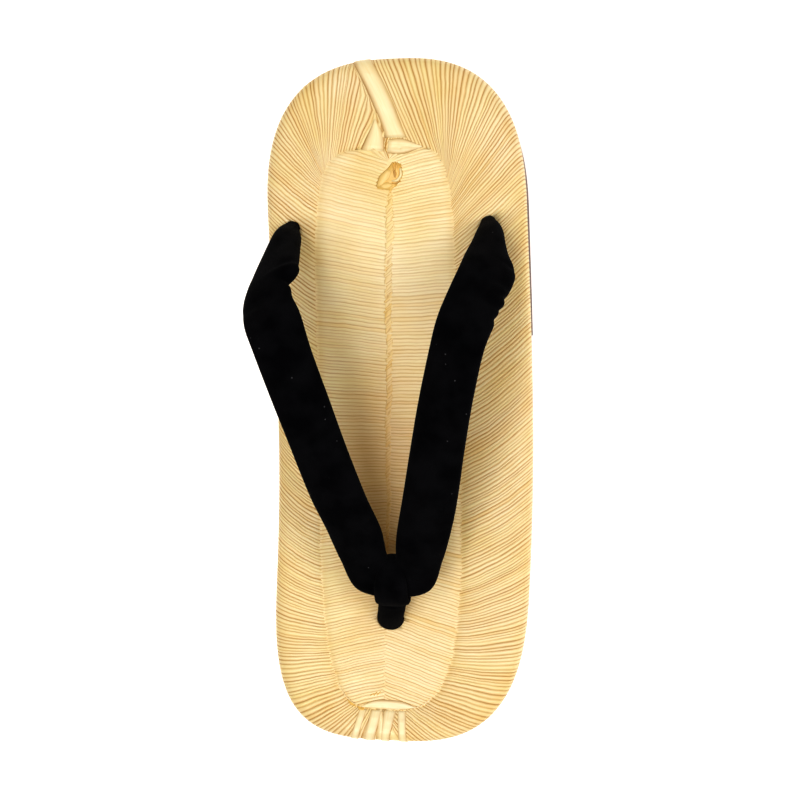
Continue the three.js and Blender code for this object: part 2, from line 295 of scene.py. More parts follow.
def make_soft_blotches():
    group = bpy.data.node_groups.new("soft_blotches", "ShaderNodeTree")
    sizes = named_sockets(group, "INPUT", [("Size", "Float"), ("Contrast", "Float")])
    sizes["Size"].default_value = 0.03
    named_sockets(group, "OUTPUT", [("Tone", "Float")])
    given = add_node(group, "NodeGroupInput").outputs
    place = add_node(group, "ShaderNodeTexCoord").outputs["Object"]
    scale = calculate(group, "DIVIDE", 1.0, given["Size"])
    noise = add_node(group, "ShaderNodeTexNoise", {"Vector": place, "Scale": scale, "Detail": 2.0})
    centred = calculate(group, "SUBTRACT", noise.outputs["Fac"], 0.5)
    tone = calculate(group, "MULTIPLY_ADD", centred, given["Contrast"], 0.5, clamp=True)
    add_node(group, "NodeGroupOutput", {"Tone": tone})
    return group


fibre_grain = make_fibre_grain()
soft_blotches = make_soft_blotches()


def place_group(tree, group, **inputs):
    """A node group placed in a material with its own values."""
    return add_node(tree, "ShaderNodeGroup", inputs, node_tree=group).outputs[0]


print("shader groups:", fibre_grain.name, soft_blotches.name)

# %% [markdown]
# ## Bamboo sheath
# The mat is woven from the dried sheath of bamboo shoots: straw gold, glossy on the crest of each rib and
# honey brown in the grooves. A picture texture could not follow every rib, so the mesh carries a UV map: U
# counts the ribs and V is the distance from the seam round the panel. The fraction of U then finds the
# grooves, whichever way a rib runs. Ribs of the panel are numbered from 1000 on, so the material can tell
# them apart.

# %% Reading the ribs
PANEL_RIBS_FROM = 1000.0
GROOVE_POWER = {"border": 2.9, "more_in_panel": 1.4}


def random_tone(tree, number):
    """A fixed random value from 0 to 1 for every whole number."""
    return add_node(tree, "ShaderNodeTexWhiteNoise", {"W": number}, noise_dimensions="1D").outputs["Value"]


def read_ribs(tree):
    """What the UV map says of a place: its rib, how far the seam is, and how deep in a groove it lies."""
    uv = add_node(tree, "ShaderNodeUVMap", uv_map="ribs").outputs["UV"]
    split = add_node(tree, "ShaderNodeSeparateXYZ", {0: uv}).outputs
    number = split["X"]
    in_panel = calculate(tree, "COMPARE", number, 1.9 * PANEL_RIBS_FROM, 0.95 * PANEL_RIBS_FROM)
    power = calculate(tree, "MULTIPLY_ADD", in_panel, GROOVE_POWER["more_in_panel"], GROOVE_POWER["border"])
    from_crest = calculate(tree, "SUBTRACT", calculate(tree, "FRACT", number), 0.5)
    from_crest = calculate(tree, "MULTIPLY", calculate(tree, "ABSOLUTE", from_crest), 2.0)
    groove = calculate(tree, "POWER", from_crest, power)
    return {"uv": uv, "number": number, "from_seam": split["Y"], "in_panel": in_panel, "groove": groove}


print("panel ribs are numbered from", PANEL_RIBS_FROM)

# %% [markdown]
# ## The colours of the sheath
# No strand has one colour. Each rib has its own random tone, slow blotches drift over all of them and fine
# streaks run along them. Painted shade makes the sheath honey coloured beside the seam, in the crease round
# the panel, and deeper still in an oval in the middle of the mat, where the straps shade it. All of it is
# mixed from a few given colours.

# %% Sheath colours
RIDGE = colour(246, 236, 184)
PALE_RIDGE = colour(252, 246, 224)
HONEY = colour(238, 206, 124)
# The colour of the painted shade in the middle of the mat, between the straps.
STRAP_SHADE_HONEY = colour(206, 146, 58)
GROOVE = colour(176, 121, 40)
PALER_PANEL = 0.12
OWN_WARMTH = {"power": 3.0, "most": 0.35}
BLOTCH_WARMTH = 0.36
# Painted shade in the crease beside the seam, fading out over a few millimetres.
SEAM_CREASE_SHADE = {"most": 0.16, "fade_mm": 3.0}
STREAK = {"from": 0.42, "strength": 0.9}
# Painted shade in an oval between the straps, where they shade the mat.
SHADE_BETWEEN_STRAPS = {"x": -0.006, "y": -0.036, "wide": 0.024, "long": 0.064, "most": 0.42}


def painted_shade_between_straps(tree, place):
    """Painted shade: a soft oval in the middle of the mat, between the straps, in metres."""
    aside = calculate(tree, "DIVIDE", calculate(tree, "SUBTRACT", place["X"], SHADE_BETWEEN_STRAPS["x"]), SHADE_BETWEEN_STRAPS["wide"])
    ahead = calculate(tree, "DIVIDE", calculate(tree, "SUBTRACT", place["Y"], SHADE_BETWEEN_STRAPS["y"]), SHADE_BETWEEN_STRAPS["long"])
    squares = [calculate(tree, "POWER", share, 2.0) for share in (aside, ahead)]
    inside = calculate(tree, "SUBTRACT", 1.0, calculate(tree, "ADD", *squares), clamp=True)
    return calculate(tree, "MULTIPLY", inside, SHADE_BETWEEN_STRAPS["most"])


def sheath_colour(tree, ribs, place, grain, tint, painted_shade):
    """The face of the ribs. Tint pulls its colour towards honey, and painted shade towards brown."""
    own = random_tone(tree, calculate(tree, "FLOOR", ribs["number"]))
    patch = place_group(tree, soft_blotches, Size=0.031, Contrast=3.0)
    pale = calculate(tree, "MULTIPLY", calculate(tree, "ADD", own, patch), 0.5)
    light = mix_colours(tree, pale, RIDGE, PALE_RIDGE)
    light = mix_colours(tree, calculate(tree, "MULTIPLY", ribs["in_panel"], PALER_PANEL), light, PALE_RIDGE)
    warm = calculate(tree, "POWER", own, OWN_WARMTH["power"])
    warm = calculate(tree, "MULTIPLY", warm, OWN_WARMTH["most"])
    blotch = place_group(tree, soft_blotches, Size=0.022, Contrast=2.4)
    warm = calculate(tree, "MULTIPLY_ADD", blotch, BLOTCH_WARMTH, warm)
    # Painted shade: near the seam, in the crease, the face is pulled towards honey.
    off_seam = calculate(tree, "ABSOLUTE", ribs["from_seam"])
    off_seam = calculate(tree, "MULTIPLY", off_seam, 1.0 / SEAM_CREASE_SHADE["fade_mm"], clamp=True)
    warm = calculate(tree, "MULTIPLY_ADD", off_seam, -SEAM_CREASE_SHADE["most"], warm)
    warm = calculate(tree, "ADD", warm, tint + SEAM_CREASE_SHADE["most"], clamp=True)
    face = mix_colours(tree, warm, light, HONEY)
    streak = calculate(tree, "SUBTRACT", grain, STREAK["from"], clamp=True)
    streak = calculate(tree, "MULTIPLY", streak, STREAK["strength"])
    # Painted shade darkens the face, first towards honey and then towards groove brown.
    face = mix_colours(tree, calculate(tree, "ADD", streak, painted_shade * 0.5), face, HONEY)
    face = mix_colours(tree, painted_shade, face, GROOVE)
    # The oval of painted shade between the straps.
    return mix_colours(tree, painted_shade_between_straps(tree, place), face, STRAP_SHADE_HONEY)


print("sheath colours:", len((RIDGE, PALE_RIDGE, HONEY, STRAP_SHADE_HONEY, GROOVE)))

# %% [markdown]
# ## Grooves and gloss
# Between two ribs the sheath is brown, but a line that is dark all along looks drawn. Each line fades in
# and out with a noise stretched along the ribs, has a strength of its own, and is softened by a honey
# halo. The panel is calmer than the border, most of all towards the heel. A clear coat gives the gloss of
# the sheath's hard skin.

# %% Bamboo materials
LINE_FADE = {"contrast": 1.5, "offset": -0.25, "own": 0.55}
CALM = {"panel": 0.15, "more_at_heel": 0.45, "heel_y": 0.07}
HALO = 0.45
SHEATH_ROUGH = {"crest": 0.5, "more_in_groove": 0.2}
SHEATH_GLOSS = {"Coat Weight": 0.35, "Coat Roughness": 0.2, "Specular IOR Level": 0.45}


def groove_lines(tree, ribs, place):
    """How brown the nearest line makes a place, and how much of its halo falls there."""
    own = random_tone(tree, calculate(tree, "ROUND", ribs["number"]))
    fade = place_group(tree, fibre_grain, Vector=ribs["uv"], Across=0.9, Along=0.07)
    fade = calculate(tree, "MULTIPLY_ADD", fade, LINE_FADE["contrast"], LINE_FADE["offset"])
    fade = calculate(tree, "MULTIPLY_ADD", own, LINE_FADE["own"], fade, clamp=True)
    near_heel = calculate(tree, "MULTIPLY", place["Y"], 1.0 / CALM["heel_y"], clamp=True)
    calm = calculate(tree, "MULTIPLY_ADD", near_heel, CALM["more_at_heel"], CALM["panel"])
    left = calculate(tree, "SUBTRACT", 1.0, calculate(tree, "MULTIPLY", ribs["in_panel"], calm))
    halo = calculate(tree, "MULTIPLY", ribs["groove"], left)
    return calculate(tree, "MULTIPLY", halo, fade), halo


def make_bamboo(name, groove_strength, tint, painted_shade=0.0):
    """Bamboo sheath with grooves, a honey tint and painted shade of the strengths that a piece needs."""
    material, tree, shader = new_material(name, SHEATH_GLOSS)
    ribs = read_ribs(tree)
    place = add_node(tree, "ShaderNodeTexCoord").outputs["Object"]
    place = add_node(tree, "ShaderNodeSeparateXYZ", {0: place}).outputs
    grain = place_group(tree, fibre_grain, Vector=ribs["uv"], Across=9.0, Along=0.09)
    face = sheath_colour(tree, ribs, place, grain, tint, painted_shade)
    dark, halo = groove_lines(tree, ribs, place)
    face = mix_colours(tree, calculate(tree, "MULTIPLY", halo, HALO * groove_strength), face, HONEY)
    dark = calculate(tree, "MULTIPLY", dark, groove_strength, clamp=True)
    tree.links.new(mix_colours(tree, dark, face, GROOVE), shader.inputs["Base Color"])
    deeper = SHEATH_ROUGH["more_in_groove"]
    rough = calculate(tree, "MULTIPLY_ADD", ribs["groove"], deeper, SHEATH_ROUGH["crest"])
    tree.links.new(rough, shader.inputs["Roughness"])
    bump = add_node(tree, "ShaderNodeBump", {"Strength": 0.35, "Distance": 0.0002, "Height": grain})
    tree.links.new(bump.outputs[0], shader.inputs["Normal"])
    return material


bamboo = make_bamboo("bamboo_sheath", groove_strength=0.95, tint=0.0)
smooth_bamboo = make_bamboo("smooth_sheath", groove_strength=0.95, tint=-0.2)
twisted_bamboo = make_bamboo("twisted_sheath", groove_strength=0.55, tint=0.16)
lobe_bamboo = make_bamboo("lobe_sheath", groove_strength=0.6, tint=0.45)
# The knot sheath takes a little painted shade, for the gaps between its strands.
knot_bamboo = make_bamboo("knot_sheath", groove_strength=0.0, tint=0.85, painted_shade=0.12)
# The shadow sheath is dark painted shadow, laid in the crack, the knot's pit and under its hook.
shadow_bamboo = make_bamboo("painted_shadow_sheath", groove_strength=0.0, tint=0.9, painted_shade=0.6)
sheaths = (bamboo, smooth_bamboo, twisted_bamboo, lobe_bamboo, knot_bamboo, shadow_bamboo)
print("materials:", [sheath.name for sheath in sheaths])

# %% [markdown]
# ## Leather
# Sole and lift are dark red-brown leather. From above only a thin line of its cut edge shows. The edge has
# the faint layers of pressed hide, and the underside is scuffed where it meets the ground, so the material
# reads height from Object coordinates for the layers and uses both shared groups for grain and blotches.

# %% Leather material
OXBLOOD = colour(92, 50, 42)
OXBLOOD_DEEP = colour(58, 29, 25)
SCUFFED = colour(128, 86, 70)
LEATHER_LAYERS_PER_METRE = 5200.0
LAYER_TONE = {"middle": 0.4, "swing": 0.12}
SCUFFS = {"facing_down": -0.8, "most": 0.8, "from": 0.45, "contrast": 3.0}
LEATHER_ROUGH = {"least": 0.35, "more_on_grain": 0.35}


def make_leather():
    material, tree, shader = new_material("sole_leather", {})
    place = add_node(tree, "ShaderNodeTexCoord").outputs["Object"]
    height = add_node(tree, "ShaderNodeSeparateXYZ", {0: place}).outputs["Z"]
    grain = place_group(tree, fibre_grain, Vector=place, Across=900.0, Along=520.0)
    blotch = place_group(tree, soft_blotches, Size=0.018, Contrast=2.2)
    layer = calculate(tree, "SINE", calculate(tree, "MULTIPLY", height, LEATHER_LAYERS_PER_METRE))
    layer = calculate(tree, "MULTIPLY_ADD", layer, LAYER_TONE["swing"], LAYER_TONE["middle"])
    base = mix_colours(tree, calculate(tree, "ADD", layer, blotch, clamp=True), OXBLOOD_DEEP, OXBLOOD)
    facing = add_node(tree, "ShaderNodeNewGeometry").outputs["Normal"]
    facing = add_node(tree, "ShaderNodeSeparateXYZ", {0: facing}).outputs["Z"]
    under = calculate(tree, "LESS_THAN", facing, SCUFFS["facing_down"])
    under = calculate(tree, "MULTIPLY", under, SCUFFS["most"])
    scuff = calculate(tree, "SUBTRACT", grain, SCUFFS["from"], clamp=True)
    scuff = calculate(tree, "MULTIPLY", scuff, SCUFFS["contrast"], clamp=True)
    worn = calculate(tree, "MULTIPLY", under, scuff)
    tree.links.new(mix_colours(tree, worn, base, SCUFFED), shader.inputs["Base Color"])
    rough = calculate(tree, "MULTIPLY_ADD", grain, LEATHER_ROUGH["more_on_grain"], LEATHER_ROUGH["least"])
    tree.links.new(rough, shader.inputs["Roughness"])
    bump = add_node(tree, "ShaderNodeBump", {"Strength": 0.4, "Distance": 0.0003, "Height": grain})
    tree.links.new(bump.outputs[0], shader.inputs["Normal"])
    return material


leather = make_leather()
print("material:", leather.name)

# %% [markdown]
# ## Velvet
# The strap is covered in black velvet. Its pile swallows light, so the base is nearly black and only a
# thin cool sheen shows where the pile is seen edge on. Where the nap has been brushed the other way it
# turns a shade lighter, which the blotches give, and a fine bump breaks up the surface as short pile does.
# A few specks of lint cling to it: they are the middles of some Voronoi cells, chosen by the cells' own
# random colour.

# %% Velvet material
PILE = (0.0016, 0.0017, 0.0027, 1.0)
BRUSHED_PILE = (0.0085, 0.0088, 0.0115, 1.0)
LINT = (0.06, 0.062, 0.07, 1.0)
LINT_SPECKS = {"cells_per_metre": 300.0, "size": 0.08, "cells_without": 0.8}
VELVET_FINISH = {
    "Roughness": 0.95,
    "Specular IOR Level": 0.04,
    "Sheen Weight": 0.03,
    "Sheen Roughness": 0.35,
    "Sheen Tint": (0.50, 0.54, 0.66, 1.0),
}


def make_velvet():
    material, tree, shader = new_material("black_velvet", VELVET_FINISH)
    place = add_node(tree, "ShaderNodeTexCoord").outputs["Object"]
    pile = place_group(tree, fibre_grain, Vector=place, Across=4200.0, Along=3000.0)
    brushed = place_group(tree, soft_blotches, Size=0.009, Contrast=3.4)
    lit = calculate(tree, "MULTIPLY", brushed, pile)
    grid = {"Vector": place, "Scale": LINT_SPECKS["cells_per_metre"]}
    cells = add_node(tree, "ShaderNodeTexVoronoi", grid).outputs
    speck = calculate(tree, "LESS_THAN", cells["Distance"], LINT_SPECKS["size"])
    chance = add_node(tree, "ShaderNodeSeparateColor", {0: cells["Color"]}).outputs[0]
    chosen = calculate(tree, "GREATER_THAN", chance, LINT_SPECKS["cells_without"])
    lint = calculate(tree, "MULTIPLY", speck, chosen)
    face = mix_colours(tree, lint, mix_colours(tree, lit, PILE, BRUSHED_PILE), LINT)
    tree.links.new(face, shader.inputs["Base Color"])
    bump = add_node(tree, "ShaderNodeBump", {"Strength": 0.5, "Distance": 0.0004, "Height": pile})
    tree.links.new(bump.outputs[0], shader.inputs["Normal"])
    return material


velvet = make_velvet()
print("material:", velvet.name)

# %% [markdown]
# ## Making and finishing meshes
# Every piece below is worked out in millimetres as arrays of points and faces. One helper turns them into
# a mesh in metres, and another bakes an object's modifiers into plain mesh data, because the frame only
# takes finished meshes.

# %% Mesh helpers


def new_piece(name, points, faces, material=None):
    mesh = bpy.data.meshes.new(name)
    mesh.from_pydata((np.asarray(points) * MM).tolist(), [], faces)
    mesh.update()
    mesh.polygons.foreach_set("use_smooth", [True] * len(mesh.polygons))
    piece = bpy.data.objects.new(name, mesh)
    scene.collection.objects.link(piece)
    if material:
        mesh.materials.append(material)
    return piece


def store_value(piece, name, values):
    attribute = piece.data.attributes.new(name, "FLOAT", "POINT")
    attribute.data.foreach_set("value", np.asarray(values, np.float32))


def store_ribs(piece, uvs):
    """The UV map that counts the ribs, with one pair of numbers for every corner of every face."""
    layers = piece.data.uv_layers
    layer = layers.get("ribs") or layers.new(name="ribs")
    layer.data.foreach_set("uv", np.array(uvs, np.float32).ravel())


def settle(piece):
    """Bakes the modifiers into a plain mesh."""
    graph = bpy.context.evaluated_depsgraph_get()
    shaped = piece.evaluated_get(graph)
    mesh = bpy.data.meshes.new_from_object(shaped, preserve_all_data_layers=True, depsgraph=graph)
    mesh.name = piece.name
    piece.modifiers.clear()
    piece.data = mesh
    return piece


print("mesh helpers ready")

# %% [markdown]
# ## Closing meshes
# A solid's mesh has no open edges and its faces point outwards, which a boolean cut relies on. Rings of
# points are joined by quads, and two long chains of points are laced together by triangles, which closes
# the top and the bottom of a sole. Each form is then cleaned, and the edges that are left open are
# counted.

# %% Closing meshes


def clean_up(piece, merge=1e-7):
    """Merges doubles, turns the faces outwards and counts the edges that are left open."""
    work = bmesh.new()
    work.from_mesh(piece.data)
    bmesh.ops.remove_doubles(work, verts=work.verts, dist=merge)
    bmesh.ops.dissolve_degenerate(work, dist=merge, edges=work.edges)
    bmesh.ops.recalc_face_normals(work, faces=work.faces)
    open_edges = sum(1 for edge in work.edges if not edge.is_manifold)
    work.to_mesh(piece.data)
    work.free()
    return open_edges


def closed_piece(name, points, faces, material=None):
    """A cleaned piece that says how many of its edges are open, which should be none."""
    piece = new_piece(name, points, faces, material)
    open_edges = clean_up(piece)
    print(name, len(piece.data.polygons), "faces,", open_edges, "open edges")
    return piece


def ring_faces(count, sides, closed=False):
    """Quads between neighbouring rings of points, and from the last to the first where they form a loop."""
    around = [(i, (i + 1) % sides) for i in range(sides)]
    faces = []
    for ring in range(count if closed else count - 1):
        here = ring * sides
        beyond = (ring + 1) % count * sides
        faces += [(here + i, here + after, beyond + after, beyond + i) for i, after in around]
    return faces


def lace(left, right, y):
    """Triangles that close the space between two chains of points, both listed from the heel to the toe."""
    faces = []
    i = j = 0
    while i < len(left) - 1 or j < len(right) - 1:
        left_is_next = j == len(right) - 1 or (i < len(left) - 1 and y[left[i + 1]] >= y[right[j + 1]])
        if left_is_next:
            faces.append((left[i], left[i + 1], right[j]))
            i += 1
        else:
            faces.append((left[i], right[j + 1], right[j]))
            j += 1
    return [tuple(int(corner) for corner in face) for face in faces if len(set(face)) == 3]


print("closing helpers ready")

# %% [markdown]
# ## The panel and its spine
# The middle of the mat is a long panel of fine ribs, with a spine down its middle where the weave turns.
# Like the sole, the panel has an outline by rule: a superellipse that is squarer at the heel, with a width
# of its own on each side of the spine.

# %% Panel and spine
PANEL = {"heel_y": 97.0, "toe_y": -120.5, "heel_power": 6.5, "toe_power": 3.7}
PANEL_LEFT = {"heel": 30.2, "toe": 26.0}
PANEL_RIGHT = {"heel": 24.4, "toe": 31.6}
SPINE = {"heel_x": -1.5, "toe_x": -6.2, "end_inset": 0.4}
SPINE_HALF_WIDTH = {"y": [-120, -75, -20, 40, 98], "half": [0.05, 0.1, 0.6, 1.0, 1.5]}


def spine_x(y):
    return SPINE["heel_x"] + (SPINE["toe_x"] - SPINE["heel_x"]) * (LENGTH / 2 - y) / LENGTH


def spine_half_width(y):
    return np.interp(y, SPINE_HALF_WIDTH["y"], SPINE_HALF_WIDTH["half"])


def panel_half_width(y, side):
    share = np.clip((PANEL["heel_y"] - y) / (PANEL["heel_y"] - PANEL["toe_y"]), 0.0, 1.0)
    left = PANEL_LEFT["heel"] + (PANEL_LEFT["toe"] - PANEL_LEFT["heel"]) * share
    right = PANEL_RIGHT["heel"] + (PANEL_RIGHT["toe"] - PANEL_RIGHT["heel"]) * share
    return np.where(side < 0, left, right)


panel_power = np.where(np.abs(turn) < np.pi / 2, PANEL["heel_power"], PANEL["toe_power"])
panel_middle = (PANEL["heel_y"] + PANEL["toe_y"]) / 2
panel_reach = (PANEL["heel_y"] - PANEL["toe_y"]) / 2
panel_y = panel_middle + panel_reach * np.sign(np.cos(turn)) * np.abs(np.cos(turn)) ** (2 / panel_power)
panel_out = np.abs(np.sin(turn)) ** (2 / panel_power) * panel_half_width(panel_y, turn)
panel_x = spine_x(panel_y) + np.sign(turn) * panel_out
panel_run = distance_from_heel(panel_x, panel_y)


def panel_point(run):
    return np.stack([np.interp(run, panel_run, panel_x), np.interp(run, panel_run, panel_y)], axis=-1)


print("panel length from heel to toe, left and right:", round(-panel_run[0], 1), round(panel_run[-1], 1))

# %% [markdown]
# ## The lie of the ribs
# The mat has a central panel of fine ribs that run out from a twisted spine, and a border of coarser ribs
# that run from the panel to the edge and wrap over it. On both sides the border ribs lean towards the
# heel, they spread like a fan at the heel corners, and they stand square to the edge round the toe. A
# short table pairs distances along the edge with distances along the panel, both measured from the heel,
# left side negative. It is read as a smooth curve, but not beside the heel band, where the ribs turn
# sharply in under the band.

# %% Rib pairs
RIB_PAIRS = [
    (-315.0, -248.0), (-303.0, -243.0), (-291.0, -236.0), (-278.0, -228.0), (-268.0, -221.0),
    (-256.0, -213.0), (-237.0, -200.0), (-218.0, -184.0), (-190.0, -159.0), (-164.0, -135.0),
    (-131.0, -102.0), (-97.0, -68.0), (-78.0, -49.0), (-66.0, -38.5), (-58.0, -34.5), (-45.0, -31.0),
    (-35.0, -29.2), (-23.0, -26.5), (-15.6, -21.8), (-13.7, -12.3), (-13.0, -4.4), (-7.9, 7.6),
    (-3.0, 12.0), (6.5, 18.5), (17.0, 24.0), (25.0, 27.0), (33.0, 30.0), (43.0, 33.0), (55.0, 38.0),
    (78.0, 51.0), (97.0, 69.0), (126.0, 97.0), (165.0, 135.0), (191.0, 158.0), (219.0, 184.0),
    (241.0, 200.0), (261.0, 213.0), (272.0, 220.0), (283.0, 227.0), (295.0, 235.0), (304.0, 241.0),
    (314.0, 247.0), (322.0, 254.0),
]
PAIR_SMOOTHING = 7.0
BAND_RUNS = (-15.6, -13.0, -7.9)


def smooth_pairs():
    """The table as a dense, smooth and rising curve from edge distance to panel distance."""
    rows = [(edge_run[0], panel_run[0]), *RIB_PAIRS, (edge_run[-1], panel_run[-1])]
    spacing = 0.1
    at = np.arange(edge_run[0], edge_run[-1], spacing)
    plain = np.interp(at, [row[0] for row in rows], [row[1] for row in rows])
    window = np.hanning(int(PAIR_SMOOTHING / spacing) | 1)
    half = len(window) // 2
    padded = np.pad(plain, half, mode="reflect", reflect_type="odd")
    smooth = np.convolve(padded, window / window.sum(), mode="valid")
    from_band = np.maximum(BAND_RUNS[0] - at, at - BAND_RUNS[-1])
    return at, plain + (smooth - plain) * smoothstep(from_band / PAIR_SMOOTHING)


pair_edge, pair_panel = smooth_pairs()
print("rib pairs:", len(RIB_PAIRS))

# %% [markdown]
# ## Rib widths
# No two strands are the same width. The border ribs are walked off round the edge one by one, with a
# seeded random share and a width that depends on the place: about 1.5 mm at the sides, 2 mm at the heel
# and the toe, less where they open out towards the panel, and very fine where they are tucked under the
# heel band. In the middle of the toe the sheath is gathered into wide strips with thin ribs between them.
# Each rib gets six columns of points, so every groove falls exactly on a column. Each also ends a little
# before or behind the panel's edge, because a woven seam is never quite even.

# %% Border ribs
RIB_SEED = 7
COLUMNS_PER_RIB = 6
RIB_WIDTHS = {"from_heel": [0, 25, 60, 110, 235, 285, 310], "width": [2.0, 2.0, 1.75, 1.5, 1.5, 1.8, 2.1]}
RIB_SPREAD = 0.32
TOE_GATHERS = {"from_heel": 317.0, "wide": 4.4, "narrow": 1.5}
SEAM_JITTER = 0.5
MOST_AT_PANEL = 1.5
UNDER_BAND = {"x": (-17.4, -3.0, 4.2), "y": (131.0, 101.5, 101.5), "rib": 0.25}

rng = np.random.default_rng(RIB_SEED)
pair_slope = np.maximum(np.gradient(pair_panel, pair_edge), 0.3)


def walk_ribs():
    marks = [edge_run[0]]
    wide_is_next = True
    while marks[-1] < edge_run[-1]:
        width = np.interp(abs(marks[-1]), RIB_WIDTHS["from_heel"], RIB_WIDTHS["width"])
        if abs(marks[-1]) > TOE_GATHERS["from_heel"]:
            width = TOE_GATHERS["wide"] if wide_is_next else TOE_GATHERS["narrow"]
            wide_is_next = not wide_is_next
        width = min(width, MOST_AT_PANEL / np.interp(marks[-1], pair_edge, pair_slope))
        if BAND_RUNS[0] < marks[-1] < BAND_RUNS[1]:
            width = UNDER_BAND["rib"]
        after = marks[-1] + width * (1.0 + RIB_SPREAD * rng.uniform(-1.0, 1.0))
        marks.append(BAND_RUNS[0] + 0.01 if marks[-1] < BAND_RUNS[0] < after else after)
    marks[-1] = edge_run[-1]
    return np.array(marks)


rib_marks = walk_ribs()
RIB_COUNT = len(rib_marks) - 1
border_rib = np.arange(RIB_COUNT * COLUMNS_PER_RIB) / COLUMNS_PER_RIB
column_run = np.interp(border_rib, np.arange(RIB_COUNT + 1), rib_marks)
COLUMNS = len(column_run)
column_side = np.where(column_run < 0, -1.0, 1.0)
edge_xy = edge_point(column_run)
inward_xy = edge_inward(column_run)
panel_xy = panel_point(np.interp(column_run, pair_edge, pair_panel))
towards_panel = unit(panel_xy - edge_xy)
jitter = rng.uniform(-SEAM_JITTER, SEAM_JITTER, RIB_COUNT)[border_rib.astype(int), None]
seam_xy = panel_xy + towards_panel * jitter
under_band = np.stack([np.interp(column_run, BAND_RUNS, UNDER_BAND[axis]) for axis in "xy"], axis=-1)
meets_band = (column_run > BAND_RUNS[0]) & (column_run < BAND_RUNS[2])
bend_xy = np.where(meets_band[:, None], under_band, (edge_xy + seam_xy) / 2)
print("border ribs:", RIB_COUNT, "columns:", COLUMNS)

# %% [markdown]
# ## The chevron
# Inside the panel the ribs form a chevron: near the heel their outer ends point back, at the middle they
# lie square to the spine, and near the toe the outer ends point forward. The border's columns of points
# simply run on from the panel's edge to the spine, at the slope that a short table gives for each side.

# %% Chevron
CHEVRON = {
    "y": [98, 85, 60, 30, -25, -65, -95, -120],
    "left": [17, 15, 11, 7, 0, -9, -14, -14],
    "right": [13, 10, 4, 2, -3, -11, -18, -18],
}


def chevron_slope(y, side):
    order = np.argsort(CHEVRON["y"])
    heights = np.array(CHEVRON["y"], float)[order]
    left = np.interp(y, heights, np.array(CHEVRON["left"], float)[order])
    right = np.interp(y, heights, np.array(CHEVRON["right"], float)[order])
    return np.tan(np.radians(np.where(side < 0, left, right)))


out_from_spine = np.abs(panel_xy[:, 0] - spine_x(panel_xy[:, 1]))
spine_y = panel_xy[:, 1] - chevron_slope(panel_xy[:, 1], column_side) * out_from_spine
spine_y = np.clip(spine_y, PANEL["toe_y"] + SPINE["end_inset"], PANEL["heel_y"] - SPINE["end_inset"])
left_columns = np.flatnonzero(column_side < 0)[::-1]
right_columns = np.flatnonzero(column_side > 0)
for chain in (left_columns, right_columns):
    spine_y[chain] = np.minimum.accumulate(spine_y[chain])
SPINE_SWAY = [(0.45, 0.9, 0.0), (0.35, 2.3, 1.0)]


def waves(at, rows):
    """A sum of sine waves. Each row gives the size, the rate and the start of one."""
    return sum(size * np.sin(at * rate + start) for size, rate, start in rows)


beside_spine = spine_x(spine_y) + column_side * spine_half_width(spine_y) + waves(spine_y, SPINE_SWAY)
spine_xy = np.stack([beside_spine, spine_y], axis=-1)
print("spine from", round(float(spine_y.max()), 1), "to", round(float(spine_y.min()), 1))

# %% [markdown]
# ## Panel ribs
# The panel's ribs are finer than the border's, so they are counted afresh: going down each side, a new rib
# starts whenever the columns have covered one rib's width, with a seeded random share. Its grooves then
# fall on columns too.

# %% Panel ribs
PANEL_RIB_WIDTHS = {"y": [-120, -60, 60], "width": [1.0, 1.1, 1.25]}
PANEL_RIB_SPREAD = 0.25


def walk_panel_ribs(chain):
    """Rib numbers for the columns of one side, from heel to toe, with each groove on a column."""
    middle = (panel_xy[chain] + spine_xy[chain]) / 2
    reach = panel_xy[chain] - spine_xy[chain]
    reach /= np.maximum(np.linalg.norm(reach, axis=1, keepdims=True), 0.01)
    step = np.diff(middle, axis=0)
    apart = np.abs(step[:, 0] * reach[1:, 1] - step[:, 1] * reach[1:, 0])
    run = np.concatenate([[0.0], np.cumsum(apart)])
    starts = [0]
    spread = 1.0
    for column in range(1, len(chain)):
        width = np.interp(middle[column, 1], PANEL_RIB_WIDTHS["y"], PANEL_RIB_WIDTHS["width"])
        if run[column] - run[starts[-1]] >= width * spread:
            starts.append(column)
            spread = 1.0 + PANEL_RIB_SPREAD * rng.uniform(-1.0, 1.0)
    return np.interp(run, run[starts], np.arange(len(starts)))


panel_rib = np.zeros(COLUMNS)
panel_rib[left_columns] = walk_panel_ribs(left_columns) + PANEL_RIBS_FROM
panel_rib[right_columns] = walk_panel_ribs(right_columns) + 2.0 * PANEL_RIBS_FROM
panel_counts = [int(np.ptp(panel_rib[chain])) for chain in (left_columns, right_columns)]
print("panel ribs left and right:", panel_counts)

# %% [markdown]
# ## The path of a border rib
# From above a border rib runs from the edge to the panel by way of one bend, which is a sharp one for the
# ribs that go in under the heel band. At the sides it also sags a little, and slow waves make it wander,
# because nothing woven by hand is ruled.

# %% Columns of the mat
RIB_SAG = {"most": 1.9, "from_heel": 55.0, "over": 220.0, "power": 0.7}
DRIFT_WAVES = [(19.0, 10, 0.12), (11.0, 65, 0.09), (8.5, 125, 0.07), (6.5, 170, 0.06), (5.5, 95, 0.05)]


def sagged(share):
    """Border ribs bend: steep where they reach the edge and flatter where they leave the panel."""
    along_side = np.clip((np.abs(column_run) - RIB_SAG["from_heel"]) / RIB_SAG["over"], 0.0, 1.0)
    amount = RIB_SAG["most"] * np.sin(np.pi * along_side) ** RIB_SAG["power"] * 4.0 * share * (1.0 - share)
    return np.stack([np.zeros(COLUMNS), -amount], axis=-1)


